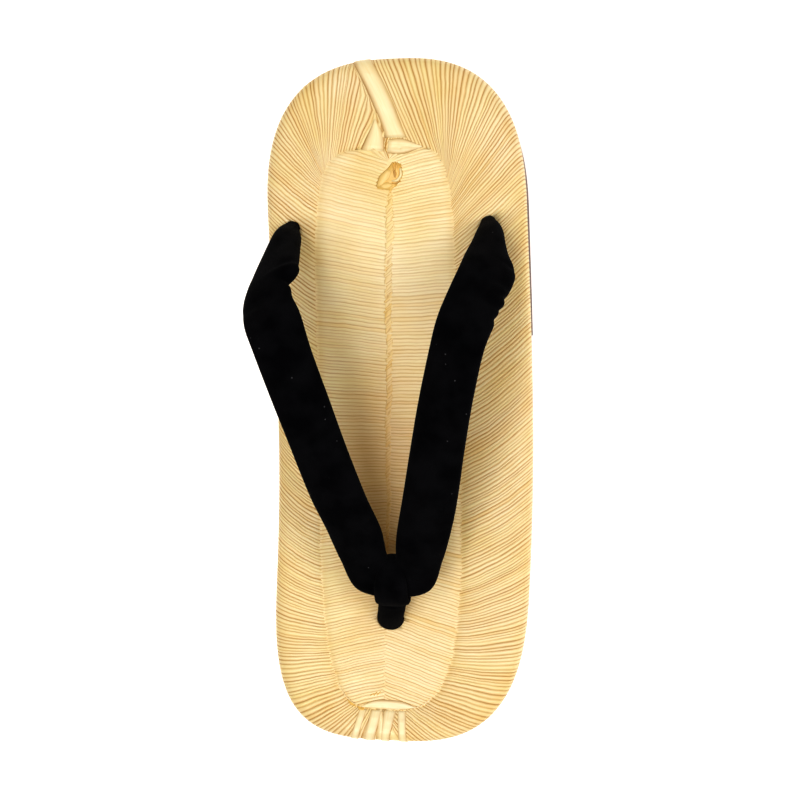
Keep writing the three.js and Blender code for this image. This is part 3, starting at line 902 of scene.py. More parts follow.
def drift(xy):
    """No rib is quite straight: a sideways wandering, from waves of a length, a heading and a size."""
    total = np.zeros_like(xy)
    for number, (length, heading, size) in enumerate(DRIFT_WAVES):
        along = np.array([math.cos(math.radians(heading)), math.sin(math.radians(heading))])
        phase = xy @ along * 2.0 * np.pi / length + 1.7 * number
        total += size * np.sin(phase)[:, None] * np.array([-along[1], along[0]])
    return total


first_leg = np.linalg.norm(bend_xy - edge_xy, axis=1)
second_leg = np.linalg.norm(seam_xy - bend_xy, axis=1)
border_length = first_leg + second_leg
border_depth = np.maximum(np.sum((bend_xy - edge_xy) * inward_xy, axis=1) * border_length / first_leg, 1.0)


def border_path(share):
    """Points on the border ribs, from the edge by way of the bend to the panel."""
    run = share * border_length
    before = edge_xy + (bend_xy - edge_xy) * (run / first_leg)[:, None]
    after = bend_xy + (seam_xy - bend_xy) * ((run - first_leg) / second_leg)[:, None]
    return np.where((run < first_leg)[:, None], before, after) + sagged(share)


print("border ribs are up to", round(float(border_length.max()), 1), "mm long")

# %% [markdown]
# ## The mat's smooth form
# Before the ribs are raised the mat is a smooth closed form: from the spine down a slight dish to the
# crease round the panel, up to the border, over the rolled edge and under to the leather. It is a grid of
# columns and rows. Rows are named by where they lie, so their heights can be read off beside them.

# %% Rows of the mat
BOARD_EDGE = {
    "inset": [9.0, 7.0, 5.0, 3.7, 2.6, 1.75, 1.1, 0.62, 0.3, 0.08, 0.0, 0.03, 0.1, 0.35, 0.7],
    "up": [8.4, 8.48, 8.5, 8.32, 8.0, 7.46, 6.8, 6.05, 5.2, 4.2, 3.2, 2.15, 1.2, 0.45, 0.0],
}
PANEL_ROWS = {
    "share": [0.0, 0.05, 0.15, 0.26, 0.37, 0.48, 0.59, 0.7, 0.81, 0.9, 0.96],
    "depth": [1.25, 1.25, 1.26, 1.27, 1.25, 1.23, 1.2, 1.14, 1.06, 1.02, 1.2],
}
CREASE_DEPTH = 1.45
BORDER_ROWS = {"share": [0.06, 0.15, 0.28, 0.42, 0.58, 0.78], "depth": [1.15, 0.92, 0.72, 0.56, 0.42, 0.24]}


def mat_rows():
    """Each row as an array of points, with its kind."""
    rows = []
    for share, depth in zip(PANEL_ROWS["share"], PANEL_ROWS["depth"]):
        xy = spine_xy + (panel_xy - spine_xy) * share
        xy += drift(xy)
        rows.append(("panel", np.column_stack([xy, board_top(xy[:, 1]) - depth])))
    seam = seam_xy + drift(seam_xy)
    rows.append(("crease", np.column_stack([seam, board_top(seam[:, 1]) - CREASE_DEPTH])))
    shoulder_share = BOARD_EDGE["inset"][0] / border_depth
    for share, depth in zip(BORDER_ROWS["share"], BORDER_ROWS["depth"]):
        from_edge = 1.0 - share * (1.0 - shoulder_share)
        xy = border_path(from_edge)
        xy += drift(xy)
        rows.append(("border", np.column_stack([xy, board_top(xy[:, 1]) - depth])))
    for inset, up in zip(BOARD_EDGE["inset"], BOARD_EDGE["up"]):
        xy = border_path(inset / border_depth)
        xy += drift(xy) * np.interp(inset, [2.0, 9.0], [0.0, 1.0])
        rows.append(("edge", np.column_stack([xy, board_underside(xy[:, 1]) + up])))
    return rows


rows = mat_rows()
ROWS = len(rows)
mat_points = np.concatenate([points for _, points in rows])
print("mat rows:", ROWS, "points:", len(mat_points))

# %% [markdown]
# ## Rib heights
# Every point of the mat knows which rib it is on, how high that rib stands and how round it is. The ribs
# are pressed nearly flat where they wrap over the rim, because the edge of a setta is beaten smooth with a
# mallet.

# %% Rib heights
PANEL_RIB_RISE = 0.13
BORDER_RIB_RISE = 0.2
MOST_RISE = 0.5
AT_CREASE = 0.25
AT_SPINE = 0.5
PRESSED = {"up": [0.0, 0.5, 5.5, 8.2], "share": [0.0, 0.12, 0.15, 1.0]}
ROUNDNESS = {"width": [2.4, 4.0], "power": [0.75, 0.3]}
row_ribs = [panel_rib if kind == "panel" else border_rib for kind, _ in rows]


def rib_pitch(points, ribs):
    """How wide one rib is at each column of a row."""
    step = np.linalg.norm(np.roll(points, -1, axis=0) - np.roll(points, 1, axis=0), axis=1)
    return step / np.clip(np.abs(np.roll(ribs, -1) - np.roll(ribs, 1)), 0.1, 1.0)


def rib_rise():
    rises = []
    for (kind, points), ribs in zip(rows, row_ribs):
        share = PANEL_RIB_RISE if kind == "panel" else BORDER_RIB_RISE
        rise = np.minimum(rib_pitch(points, ribs) * share, MOST_RISE)
        rises.append(rise * (AT_CREASE if kind == "crease" else 1.0))
    rises[0] = rises[0] * AT_SPINE
    edge_rows = len(BOARD_EDGE["up"])
    pressed = np.interp(BOARD_EDGE["up"], PRESSED["up"], PRESSED["share"])
    rises[-edge_rows:] = [rise * share for rise, share in zip(rises[-edge_rows:], pressed)]
    return np.concatenate(rises)


def rib_roundness():
    """Narrow ribs are round and wide gathers are flat on top."""
    border = np.interp(np.diff(rib_marks)[border_rib.astype(int)], ROUNDNESS["width"], ROUNDNESS["power"])
    panel = np.full(COLUMNS, ROUNDNESS["power"][0])
    return np.concatenate([panel if kind == "panel" else border for kind, _ in rows])


rise = rib_rise()
print("ribs stand up to", round(float(rise.max()), 2), "mm high")

# %% [markdown]
# ## The mat as one mesh
# The grid is joined by quads, and triangles lace up the line under the spine and the underside. Each quad
# gets its UVs from the rib numbers of its two columns and from the distance of its two rows from the seam.
# A tree of the smooth form is kept, because the strips that lie on the mat are draped on it later.

# %% Faces of the mat


def mat_uvs():
    """Four UVs for each quad: rib numbers one way and the distance from the seam the other."""
    chains = [points for _, points in rows]
    steps = [np.linalg.norm(after - before, axis=1).mean() for before, after in zip(chains, chains[1:])]
    along = np.concatenate([[0.0], np.cumsum(steps)])
    along -= along[[kind for kind, _ in rows].index("crease")]
    uvs = []
    for row in range(ROWS - 1):
        first = row_ribs[row]
        second = np.roll(first, -1)
        second = np.where(np.abs(second - first) > 1.0, first, second)
        near = np.full(COLUMNS, along[row])
        far = np.full(COLUMNS, along[row + 1])
        uvs.append(np.stack([first, near, second, near, second, far, first, far], axis=-1).reshape(-1, 2))
    return np.concatenate(uvs)


last_row = (ROWS - 1) * COLUMNS
spine_cap = lace(left_columns, right_columns, mat_points[:, 1])
under_cap = lace(left_columns + last_row, right_columns + last_row, mat_points[:, 1])
under_cap = [(a, c, b) for a, b, c in under_cap]
cap_uvs = [(0.5, 0.0)] * 3 * (len(spine_cap) + len(under_cap))
mat = new_piece("woven_mat", mat_points, ring_faces(ROWS, COLUMNS) + spine_cap + under_cap)
store_ribs(mat, np.concatenate([mat_uvs(), cap_uvs]))
store_value(mat, "rib", np.concatenate(row_ribs))
store_value(mat, "rib_rise", rise * MM)
store_value(mat, "rib_round", rib_roundness())
open_edges = clean_up(mat)
places = [vertex.co for vertex in mat.data.vertices]
smooth_form = BVHTree.FromPolygons(places, [tuple(face.vertices) for face in mat.data.polygons])
print("smooth mat:", len(mat.data.polygons), "faces,", open_edges, "open edges")

# %% [markdown]
# ## Raising the ribs
# Each rib is a rounded strand. Modelling three hundred of them as tubes would be heavy and would leave
# gaps, so a Geometry Nodes tree lifts the smooth mat instead: it reads which rib a point is on, works out
# a rounded profile across that rib, gives each rib its own height from a seeded random value, lets that
# height wander along the rib, and moves the point along its normal. The named inputs can be changed
# without the mesh.

# %% Rib tree


def make_rib_tree():
    tree = bpy.data.node_groups.new("raise_ribs", "GeometryNodeTree")
    wanted = [("Geometry", "Geometry"), ("Least height", "Float"), ("Most height", "Float"),
              ("Wander", "Float"), ("Wander size", "Float"), ("Seed", "Int"), ("Material", "Material")]
    sockets = named_sockets(tree, "INPUT", wanted)
    named_sockets(tree, "OUTPUT", [("Geometry", "Geometry")])
    given = add_node(tree, "NodeGroupInput").outputs

    def stored(name):
        kind = "GeometryNodeInputNamedAttribute"
        return add_node(tree, kind, {"Name": name}, data_type="FLOAT").outputs[0]

    rib = stored("rib")
    arch = calculate(tree, "SINE", calculate(tree, "MULTIPLY", calculate(tree, "FRACT", rib), math.pi))
    profile = calculate(tree, "POWER", calculate(tree, "MAXIMUM", arch, 0.0), stored("rib_round"))
    scale = calculate(tree, "DIVIDE", 1.0, given["Wander size"])
    noise = add_node(tree, "ShaderNodeTexNoise", {"Scale": scale, "Detail": 1.0}).outputs[0]
    wander = calculate(tree, "MULTIPLY", calculate(tree, "SUBTRACT", noise, 0.5), given["Wander"])
    rise = calculate(tree, "MULTIPLY", stored("rib_rise"), calculate(tree, "ADD", wander, 1.0))
    number = calculate(tree, "FLOOR", rib)
    chances = {2: given["Least height"], 3: given["Most height"], 7: number, 8: given["Seed"]}
    own = add_node(tree, "FunctionNodeRandomValue", chances, data_type="FLOAT").outputs[1]
    lift = calculate(tree, "MULTIPLY", calculate(tree, "MULTIPLY", profile, own), rise)
    lift = calculate(tree, "SUBTRACT", lift, calculate(tree, "MULTIPLY", rise, 0.6))
    normal = add_node(tree, "GeometryNodeInputNormal").outputs[0]
    offset = add_node(tree, "ShaderNodeVectorMath", {0: normal, "Scale": lift}, operation="SCALE").outputs[0]
    moved = add_node(tree, "GeometryNodeSetPosition", {"Geometry": given["Geometry"], "Offset": offset})
    whole = add_node(tree, "GeometryNodeRealizeInstances", {"Geometry": moved.outputs[0]})
    finish = {"Geometry": whole.outputs[0], "Material": given["Material"]}
    dressed = add_node(tree, "GeometryNodeSetMaterial", finish)
    add_node(tree, "NodeGroupOutput", {"Geometry": dressed.outputs[0]})
    return tree, sockets


def grow(piece, tree, sockets, **values):
    """Runs a Geometry Nodes tree on a piece with its named inputs, and bakes the result."""
    modifier = piece.modifiers.new(tree.name, "NODES")
    modifier.node_group = tree
    for name, value in values.items():
        modifier[sockets[name.replace("_", " ")].identifier] = value
    return settle(piece)


rib_tree, rib_sockets = make_rib_tree()
grow(mat, rib_tree, rib_sockets, Least_height=0.65, Most_height=1.25, Wander=1.4, Wander_size=0.006, Seed=11,
     Material=bamboo)
print("ribbed mat:", len(mat.data.polygons), "faces")

# %% [markdown]
# ## Strips laid on the mat
# Where the weave begins and ends the sheath shows as smooth flat pieces. Each is a thin closed strip
# between two edges drawn in millimetres, draped by casting rays down on the smooth form of the
# mat. A shrinkwrap modifier could do the same, but rays also give the height where a strip tapers to a
# point.

# %% Heights and curves


def mat_height(x, y):
    """Height of the smooth mat at a place, in millimetres."""
    hit = smooth_form.ray_cast(Vector((x * MM, y * MM, 0.1)), Vector((0.0, 0.0, -1.0)))[0]
    return hit.z / MM if hit else float(board_top(y))


def through(rows, at):
    """A Catmull-Rom curve through the rows, read at the given row numbers."""
    rows = np.asarray(rows, float)
    ends = np.concatenate([[2 * rows[0] - rows[1]], rows, [2 * rows[-1] - rows[-2]]])
    first = np.clip(np.floor(at).astype(int), 0, len(rows) - 2)
    t = (at - first)[:, None]
    a, b, c, d = (ends[first + step] for step in range(4))
    squared = 2 * a - 5 * b + 4 * c - d
    cubed = 3 * b - a - 3 * c + d
    return 0.5 * (2 * b + (c - a) * t + squared * t ** 2 + cubed * t ** 3)


def running_length(points):
    """The distance along a chain of points, from the first one."""
    return np.concatenate([[0.0], np.cumsum(np.linalg.norm(np.diff(points, axis=0), axis=1))])


print("mat height at the middle:", round(mat_height(0.0, 0.0), 1))

# %% [markdown]
# ## Draping a strip
# A strip is a grid of points between its two edges. Its top is crowned and lower at both ends, and a skirt
# below it sinks into the ribs, so no gap shows underneath. Its UVs make it one single wide rib, which the
# bamboo material then shades like all the others.

# %% Draping a strip
STRIP_RISE = 0.42
STRIP_SKIRT = 0.5
STRIP_LIFT = 0.02
STRIP_GROOVE = 0.03
STRIP_ENDS = {"rate": 6.0, "least": 0.25}


def strip_solid(name, top, skirt, material):
    """A thin closed solid, counted as one rib, from a grid of points on top and a matching grid below."""
    along, across = top.shape[:2]
    below = along * across
    faces = []
    for row in range(along - 1):
        for a in range(row * across, row * across + across - 1):
            b = a + 1
            faces.append((a, b, b + across, a + across))
            faces.append((below + a, below + a + across, below + b + across, below + b))
    rim = list(range(across))
    rim += [row * across + across - 1 for row in range(1, along)]
    rim += [(along - 1) * across + column for column in range(across - 2, -1, -1)]
    rim += [row * across for row in range(along - 2, 0, -1)]
    faces += [(a, below + a, below + b, b) for a, b in zip(rim, rim[1:] + rim[:1])]
    lengths = running_length(top[:, across // 2])
    corners = np.array(faces).ravel()
    row, column = np.divmod(corners % below, across)
    rib_share = STRIP_GROOVE + (1.0 - 2.0 * STRIP_GROOVE) * column / (across - 1)
    piece = new_piece(name, np.concatenate([top.reshape(-1, 3), skirt.reshape(-1, 3)]), faces, material)
    # The strips start past the fade of the painted seam shade, so they take none of it.
    store_ribs(piece, np.column_stack([rib_share, lengths[row] + SEAM_CREASE_SHADE["fade_mm"]]))
    clean_up(piece, merge=2e-6)
    return piece


def lay_strip(name, first_edge, second_edge, material, rise=STRIP_RISE, along=28, across=9):
    """A strip on the mat between two edges, each a few places joined by a smooth curve."""
    first = through(first_edge, np.linspace(0, len(first_edge) - 1, along))
    second = through(second_edge, np.linspace(0, len(second_edge) - 1, along))
    share = np.linspace(0.0, 1.0, across)
    xy = first[:, None] + (second - first)[:, None] * share[None, :, None]
    base = np.array([[mat_height(x, y) for x, y in row] for row in xy])
    crown = rise * (1.0 - np.abs(2.0 * share - 1.0) ** 4)
    from_end = np.minimum(np.linspace(0, 1, along), np.linspace(1, 0, along))
    ends = np.minimum(1.0, STRIP_ENDS["rate"] * from_end + STRIP_ENDS["least"])
    top = np.dstack([xy, base + crown[None] * ends[:, None] + STRIP_LIFT])
    skirt = np.dstack([xy, base - STRIP_SKIRT])
    return strip_solid(name, top, skirt, material)


def lay_strips(table, along, across):
    """Lays a table of strips. Each row has a name, a sheath, a rise and two edges."""
    return [lay_strip(name, first_edge, second_edge, sheath, rise, along, across)
            for name, sheath, rise, first_edge, second_edge in table]


print("strips stand", STRIP_RISE, "mm over the smooth mat")

# %% [markdown]
# ## The heel leaves
# Between the heel band and the panel two leaf-shaped ends of sheath are tucked in. Where they part, a
# dark strip paints the shadow in the crack. They are only a few, so they are drawn one by one in a short
# table instead of by a rule.

# %% Heel leaves
HEEL_LEAVES = [
    ("heel_leaf_left", smooth_bamboo, STRIP_RISE,
     [(-8.1, 108.4), (-10.9, 102.8), (-13.9, 96.8)], [(-7.5, 108.2), (-4.7, 102.2), (-4.3, 95.8)]),
    ("heel_leaf_right", smooth_bamboo, STRIP_RISE,
     [(-3.3, 95.2), (2.7, 94.6), (10.3, 97.0)], [(-2.7, 100.6), (2.9, 100.6), (10.3, 97.6)]),
]
# A dark strip of painted shadow in the crack between the leaves.
HEEL_CRACK_SHADOW = [
    ("heel_crack_shadow", shadow_bamboo, STRIP_RISE,
     [(-3.3, 101.4), (-4.2, 97.6), (-2.9, 93.4)], [(-2.8, 101.2), (-3.7, 97.6), (-2.5, 93.2)]),
]
laid_pieces = lay_strips(HEEL_LEAVES, along=28, across=9) + lay_strips(HEEL_CRACK_SHADOW, along=16, across=5)
print("laid strips:", [piece.name for piece in laid_pieces])

# %% [markdown]
# ## Bands over the rim
# One flat band starts at the leaves and runs out at a slant, over the rim and down the edge at the heel.
# At the toe the sheath is gathered into four shorter flat strips. A strip drawn from above would stretch
# where the edge turns down, so these are drawn by their distance along the edge and in from it, and follow
# the edge profile row by row.

# %% Bands over the rim
HEEL_BAND = {"run": -11.6, "half_at_edge": 3.7, "half_inside": 4.3, "slant": 0.46, "inner_end": 31.5}
TOE_STRIPS = [
    {"run": -13.2, "half_at_edge": 1.6, "half_inside": 1.5, "slant": 0.25, "inner_end": 11.8},
    {"run": -7.3, "half_at_edge": 2.2, "half_inside": 2.3, "slant": 0.25, "inner_end": 11.8},
    {"run": -1.0, "half_at_edge": 1.7, "half_inside": 2.6, "slant": 0.17, "inner_end": 11.8},
    {"run": 6.4, "half_at_edge": 1.7, "half_inside": 1.7, "slant": -0.06, "inner_end": 11.8},
]
TOE_STRIP_RISE = 0.3
BAND_STEPS_INSIDE = 14
BAND_POINTS_ACROSS = 11
STRETCH_REACH = 2.0


def make_band(name, band, start=0.0, rise=STRIP_RISE):
    """A band over the rim, placed by its run rightwards from a start on the edge, and slanted inwards."""
    inside = np.linspace(band["inner_end"], BOARD_EDGE["inset"][0], BAND_STEPS_INSIDE, endpoint=False)
    insets = np.concatenate([inside, BOARD_EDGE["inset"][:-2]])
    share = np.linspace(-1.0, 1.0, BAND_POINTS_ACROSS)
    top = np.zeros((len(insets), len(share), 3))
    skirt = np.zeros_like(top)
    profile = np.column_stack([-np.array(BOARD_EDGE["inset"]), BOARD_EDGE["up"]])
    tangent = unit(np.gradient(profile, axis=0))
    rightwards = 1.0 if start == 0.0 else -1.0
    for row, inset in enumerate(insets):
        middle = start + rightwards * (band["run"] + band["slant"] * inset)
        both_ways = (middle - STRETCH_REACH, middle + STRETCH_REACH)
        ends = [edge_point(run) + edge_inward(run) * inset for run in both_ways]
        stretch = np.linalg.norm(ends[1] - ends[0]) / (2.0 * STRETCH_REACH)
        half = np.interp(inset, [0.0, band["inner_end"]], [band["half_at_edge"], band["half_inside"]])
        runs = middle + half / stretch * share
        inward = edge_inward(runs)
        xy = edge_point(runs) + inward * inset
        edge_row = row - BAND_STEPS_INSIDE
        if edge_row < 0:
            z = np.array([mat_height(x, y) for x, y in xy])
            normal = np.tile([0.0, 0.0, 1.0], (len(share), 1))
        else:
            z = board_underside(xy[:, 1]) + BOARD_EDGE["up"][edge_row]
            out, up = -tangent[edge_row, 1], tangent[edge_row, 0]
            normal = np.column_stack([-inward * out, np.full(len(share), up)])
        crown = rise * (1.0 - np.abs(share) ** 8) * min(1.0, 0.3 + row / 2.0) + STRIP_LIFT
        top[row] = np.column_stack([xy, z]) + normal * crown[:, None]
        skirt[row] = np.column_stack([xy, z]) - normal * STRIP_SKIRT
    return strip_solid(name, top, skirt, smooth_bamboo)


laid_pieces.append(make_band("heel_band", HEEL_BAND))
for number, strip in enumerate(TOE_STRIPS):
    laid_pieces.append(make_band(f"toe_strip_{number + 1}", strip, start=edge_run[-1], rise=TOE_STRIP_RISE))
print("bands over the rim:", 1 + len(TOE_STRIPS))

# %% [markdown]
# ## The toe crescent
# At the toe the end of the weave is covered by a smooth crescent that follows the panel's edge, widest in
# the middle. Its outer edge is the panel's own curve, so only its width has to be drawn. Beside it two
# small orange pads show where the sheath turns under, and a tuft of three loose strands sticks out above
# it.

# %% Toe crescent
CRESCENT = {"left": 22.0, "right": 20.0, "width": 3.3, "centre": -2.0, "half_length": 11.0, "arm": 0.5}
CRESCENT_RISE = 0.45
CRESCENT_STEPS = 43
CRESCENT_FACES_Y = -100.0
TOE_PADS = [
    ("toe_pad_outer", knot_bamboo, STRIP_RISE,
     [(-20.2, -117.0), (-18.4, -118.0), (-16.9, -119.2)],
     [(-20.4, -117.4), (-19.2, -119.0), (-17.2, -119.8)]),
    ("toe_pad_inner", knot_bamboo, STRIP_RISE,
     [(-16.4, -119.0), (-15.0, -119.6), (-13.4, -120.4)],
     [(-16.6, -119.6), (-15.2, -121.0), (-13.4, -121.0)]),
    ("toe_tuft_left", knot_bamboo, STRIP_RISE,
     [(-11.4, -115.3), (-10.6, -114.7), (-9.7, -114.5)], [(-11.3, -115.6), (-10.4, -115.1), (-9.6, -114.8)]),
    ("toe_tuft_middle", knot_bamboo, STRIP_RISE,
     [(-9.9, -115.2), (-9.3, -114.4), (-8.6, -113.8)], [(-9.6, -115.4), (-9.0, -114.7), (-8.4, -114.0)]),
    ("toe_tuft_right", knot_bamboo, STRIP_RISE,
     [(-8.6, -115.0), (-8.0, -114.3), (-7.2, -113.6)], [(-8.3, -115.2), (-7.7, -114.6), (-7.0, -113.9)]),
]


def make_toe_crescent():
    whole = panel_run[-1] - panel_run[0]
    from_tip = np.linspace(-CRESCENT["right"], CRESCENT["left"], CRESCENT_STEPS)
    runs = panel_run[-1] + from_tip
    runs = np.where(runs > panel_run[-1], runs - whole, runs)
    outer = panel_point(runs)
    towards = unit(np.array([float(spine_x(CRESCENT_FACES_Y)), CRESCENT_FACES_Y]) - outer)
    lens = np.clip(1.0 - ((from_tip - CRESCENT["centre"]) / CRESCENT["half_length"]) ** 4, 0.0, 1.0)
    inner = outer + towards * (CRESCENT["arm"] + CRESCENT["width"] * lens)[:, None]
    return lay_strip("toe_crescent", inner, outer + towards * 0.1, smooth_bamboo, CRESCENT_RISE, along=85)


toe_crescent = make_toe_crescent()
laid_pieces += [toe_crescent, *lay_strips(TOE_PADS, along=10, across=5)]
print("toe crescent:", len(toe_crescent.data.polygons), "faces, pads and strands:", len(TOE_PADS))

# %% [markdown]
# ## The spine
# Down the middle of the panel the strands of both halves are twisted over each other. Seen close, that is
# a narrow band of short slanting ribs, clear at the heel and fading out towards the toe. It is a thin
# strip like the others, and the same Geometry Nodes tree raises its ribs, which are numbered along the
# slant.

# %% Spine
SPINE_BAND = {"heel_y": 84.0, "toe_y": -70.0, "slant": 0.9, "rib": 1.5, "rise": 0.13, "height": 0.06}
SPINE_GRID = {"along": 620, "across": 9}
SPINE_TAPER = {"over": 14.0, "least": 0.12, "full_height_at": 1.2}
SPINE_OVERLAP = 0.4
SPINE_SWELL = [(0.14, 1.7, 0.0), (0.12, 3.1, 2.0)]
SPINE_BEND = [(0.3, 0.11, 0.0), (0.2, 0.31, 1.0)]
SPINE_ROUND = 0.7


def number_spine_ribs(band, y, base, half):
    """Rib numbers along the slant, a rise on the top side alone, and UVs that count in from the sides."""
    places = np.array([vertex.co for vertex in band.data.vertices]) / MM
    from_spine = places[:, 0] - spine_x(places[:, 1])
    along_slant = (places[:, 1] - SPINE_BAND["slant"] * from_spine) / SPINE_BAND["rib"]
    uneven = waves(along_slant, [(0.3, 1.3, 0.0), (0.25, 2.9, from_spine)])
    numbers = along_slant + uneven + 3.0 * PANEL_RIBS_FROM
    on_top = places[:, 2] > np.interp(places[:, 1], y, base) - STRIP_SKIRT / 2
    store_value(band, "rib", numbers)
    store_value(band, "rib_rise", np.where(on_top, SPINE_BAND["rise"] * MM, 0.0))
    store_value(band, "rib_round", np.full(len(numbers), SPINE_ROUND))
    corners = np.zeros(len(band.data.loops), np.int32)
    band.data.loops.foreach_get("vertex_index", corners)
    inside = np.interp(places[:, 1], y, half) - np.abs(from_spine)
    store_ribs(band, np.column_stack([numbers[corners], inside[corners]]))


def make_spine_band():
    y = np.linspace(SPINE_BAND["heel_y"], SPINE_BAND["toe_y"], SPINE_GRID["along"])
    share = np.linspace(-1.0, 1.0, SPINE_GRID["across"])
    from_end = np.minimum(y[0] - y, y - y[-1])
    taper = np.minimum(1.0, from_end / SPINE_TAPER["over"] + SPINE_TAPER["least"])
    half = (spine_half_width(y) + SPINE_OVERLAP) * taper * (1.0 + waves(y, SPINE_SWELL))
    x = (spine_x(y) + waves(y, SPINE_BEND))[:, None] + half[:, None] * share
    base = np.array([mat_height(float(spine_x(place)), float(place)) for place in y])
    height = SPINE_BAND["height"] * np.minimum(1.0, half / SPINE_TAPER["full_height_at"])
    crown = height[:, None] * (1.0 - share ** 2) + STRIP_LIFT
    y_grid = np.broadcast_to(y[:, None], x.shape)
    top = np.dstack([x, y_grid, base[:, None] + crown])
    skirt = np.dstack([x, y_grid, np.broadcast_to((base - STRIP_SKIRT)[:, None], x.shape)])
    band = strip_solid("spine_band", top, skirt, twisted_bamboo)
    number_spine_ribs(band, y[::-1], base[::-1], half[::-1])
    return grow(band, rib_tree, rib_sockets, Least_height=0.7, Most_height=1.2, Wander=0.8,
                Wander_size=0.004, Seed=5, Material=twisted_bamboo)


spine_band = make_spine_band()
laid_pieces.append(spine_band)
print("spine band:", len(spine_band.data.polygons), "faces")

# %% [markdown]
# ## The knot
# The weave is started from a knot just below the heel leaves: ten strips curled round each other in a
# small pit, with one pale hook. Most are orange-brown; the dark of the pit and the line under the hook
# are painted shadow. They are drawn one by one as crescents, the way they lie, each with its height.

# %% Knot
KNOT_STRANDS = [
    ("knot_bed", knot_bamboo, 0.3, [(-1.6, 91.4), (-3.4, 89.2), (-6.6, 86.4), (-7.7, 82.4), (-5.2, 81.3)],
     [(1.0, 91.6), (2.7, 89.0), (2.7, 86.0), (1.2, 83.4), (-1.8, 81.0)]),
    ("knot_left_lobe", lobe_bamboo, 0.75,
     [(-3.5, 89.0), (-6.5, 86.4), (-7.6, 82.6)], [(-1.3, 88.6), (-2.2, 85.2), (-5.4, 82.2)]),
    ("knot_lower_lobe", lobe_bamboo, 0.8,
     [(-6.6, 82.8), (-4.0, 84.2), (-1.2, 83.8)], [(-5.4, 81.6), (-3.2, 81.0), (-1.0, 82.3)]),
    # The dark of the pit is painted shadow.
    ("knot_pit_shadow", shadow_bamboo, 0.5,
     [(-1.4, 88.8), (-1.0, 87.0), (-0.6, 85.6)], [(0.3, 88.8), (0.6, 87.0), (0.2, 85.5)]),
    ("knot_tuft_left", knot_bamboo, 0.9,
     [(-1.5, 91.6), (-1.3, 89.8), (-0.8, 88.0)], [(-0.8, 91.7), (-0.7, 89.8), (-0.4, 88.0)]),
    ("knot_tuft_middle", knot_bamboo, 1.0,
     [(-0.5, 91.8), (-0.3, 90.0), (-0.1, 86.6)], [(0.1, 91.8), (0.2, 90.0), (0.2, 86.6)]),
    ("knot_tuft_right", knot_bamboo, 0.9,
     [(0.5, 91.5), (0.6, 90.2), (0.6, 88.8)], [(1.1, 91.4), (1.1, 90.2), (1.0, 88.8)]),
    ("knot_hook", smooth_bamboo, 0.95, [(1.2, 89.4), (1.5, 87.0), (0.3, 85.2), (-1.7, 84.8)],
     [(2.5, 89.4), (2.7, 86.4), (1.1, 84.0), (-1.6, 84.0)]),
    # A dark line of painted shadow under the hook.
    ("knot_hook_shadow", shadow_bamboo, 0.7,
     [(-1.7, 83.9), (0.0, 83.7), (1.7, 84.6)], [(-1.6, 83.4), (0.3, 83.1), (2.2, 84.4)]),
    ("knot_side_tuft", knot_bamboo, 0.8,
     [(1.6, 91.0), (1.8, 90.2), (1.9, 89.4)], [(2.1, 90.9), (2.3, 90.2), (2.3, 89.4)]),
]
laid_pieces += lay_strips(KNOT_STRANDS, along=18, across=7)
print("knot strands:", len(KNOT_STRANDS))

# %% [markdown]
# ## The leather sole and the heel lift
# Both are cut from hide along the same outline, a hair inside the woven edge, with edges that have been
# rasped a little round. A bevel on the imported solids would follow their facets, so the pieces are made
# again from the outline rule with many more points, as closed rings laced over the top and the bottom.

# %% Outsole and heel lift
OUTSOLE_INSET = 0.45
LIFT_INSET = {"floor": 0.15, "top": 0.45}
LIFT_LENGTH = 107.0
EDGE_ROUND = 0.7
LEATHER_POINTS = 420


def leather_ring(runs, inset, breast_y=None):
    xy = edge_point(runs) + edge_inward(runs) * inset
    if breast_y is not None:
        xy[:, 1] = np.maximum(xy[:, 1], breast_y)
    return xy


def cut_leather(name, runs, layers, breast_y=None):
    """Leather between layers. Each layer is an inset and a height rule, listed from the bottom up."""
    rings = []
    for inset, height in layers:
        xy = leather_ring(runs, inset, breast_y + inset if breast_y is not None else None)
        rings.append(np.column_stack([xy, height(xy[:, 1])]))
    points = np.concatenate(rings)
    left = np.flatnonzero(runs <= 0)[::-1]
    right = np.flatnonzero(runs >= 0)
    top = len(points) - len(runs)
    faces = ring_faces(len(rings), len(runs))
    faces += lace(left, right, points[:, 1])
    faces += lace(left + top, right + top, points[:, 1])
    return closed_piece(name, points, faces, leather)


def rounded_layers(low, high, low_inset, high_inset):
    """Six layers with the corners between the sides and the faces eased."""
    eased = 0.3 * EDGE_ROUND
    return [
        (low_inset + EDGE_ROUND, low),
        (low_inset + eased, lambda y: low(y) + eased),
        (low_inset, lambda y: low(y) + EDGE_ROUND),
        (high_inset, lambda y: high(y) - EDGE_ROUND),
        (high_inset + eased, lambda y: high(y) - eased),
        (high_inset + EDGE_ROUND, high),
    ]


whole_runs = np.linspace(edge_run[0], edge_run[-1], LEATHER_POINTS, endpoint=False)
outsole_layers = rounded_layers(sole_underside, lambda y: sole_underside(y) + OUTSOLE_THICKNESS,
                                OUTSOLE_INSET, OUTSOLE_INSET)
outsole = cut_leather("leather_outsole", whole_runs, outsole_layers)

LIFT_BREAST_Y = LENGTH / 2 - LIFT_LENGTH
behind_breast = edge_y >= LIFT_BREAST_Y
lift_runs = np.linspace(edge_run[behind_breast][0], edge_run[behind_breast][-1], LEATHER_POINTS // 2 | 1)
lift_layers = rounded_layers(lambda y: 0.0 * y, lambda y: sole_underside(y) - GLUE_GAP,
                             LIFT_INSET["floor"], LIFT_INSET["top"])
heel_lift = cut_leather("leather_heel_lift", lift_runs, lift_layers, LIFT_BREAST_Y)

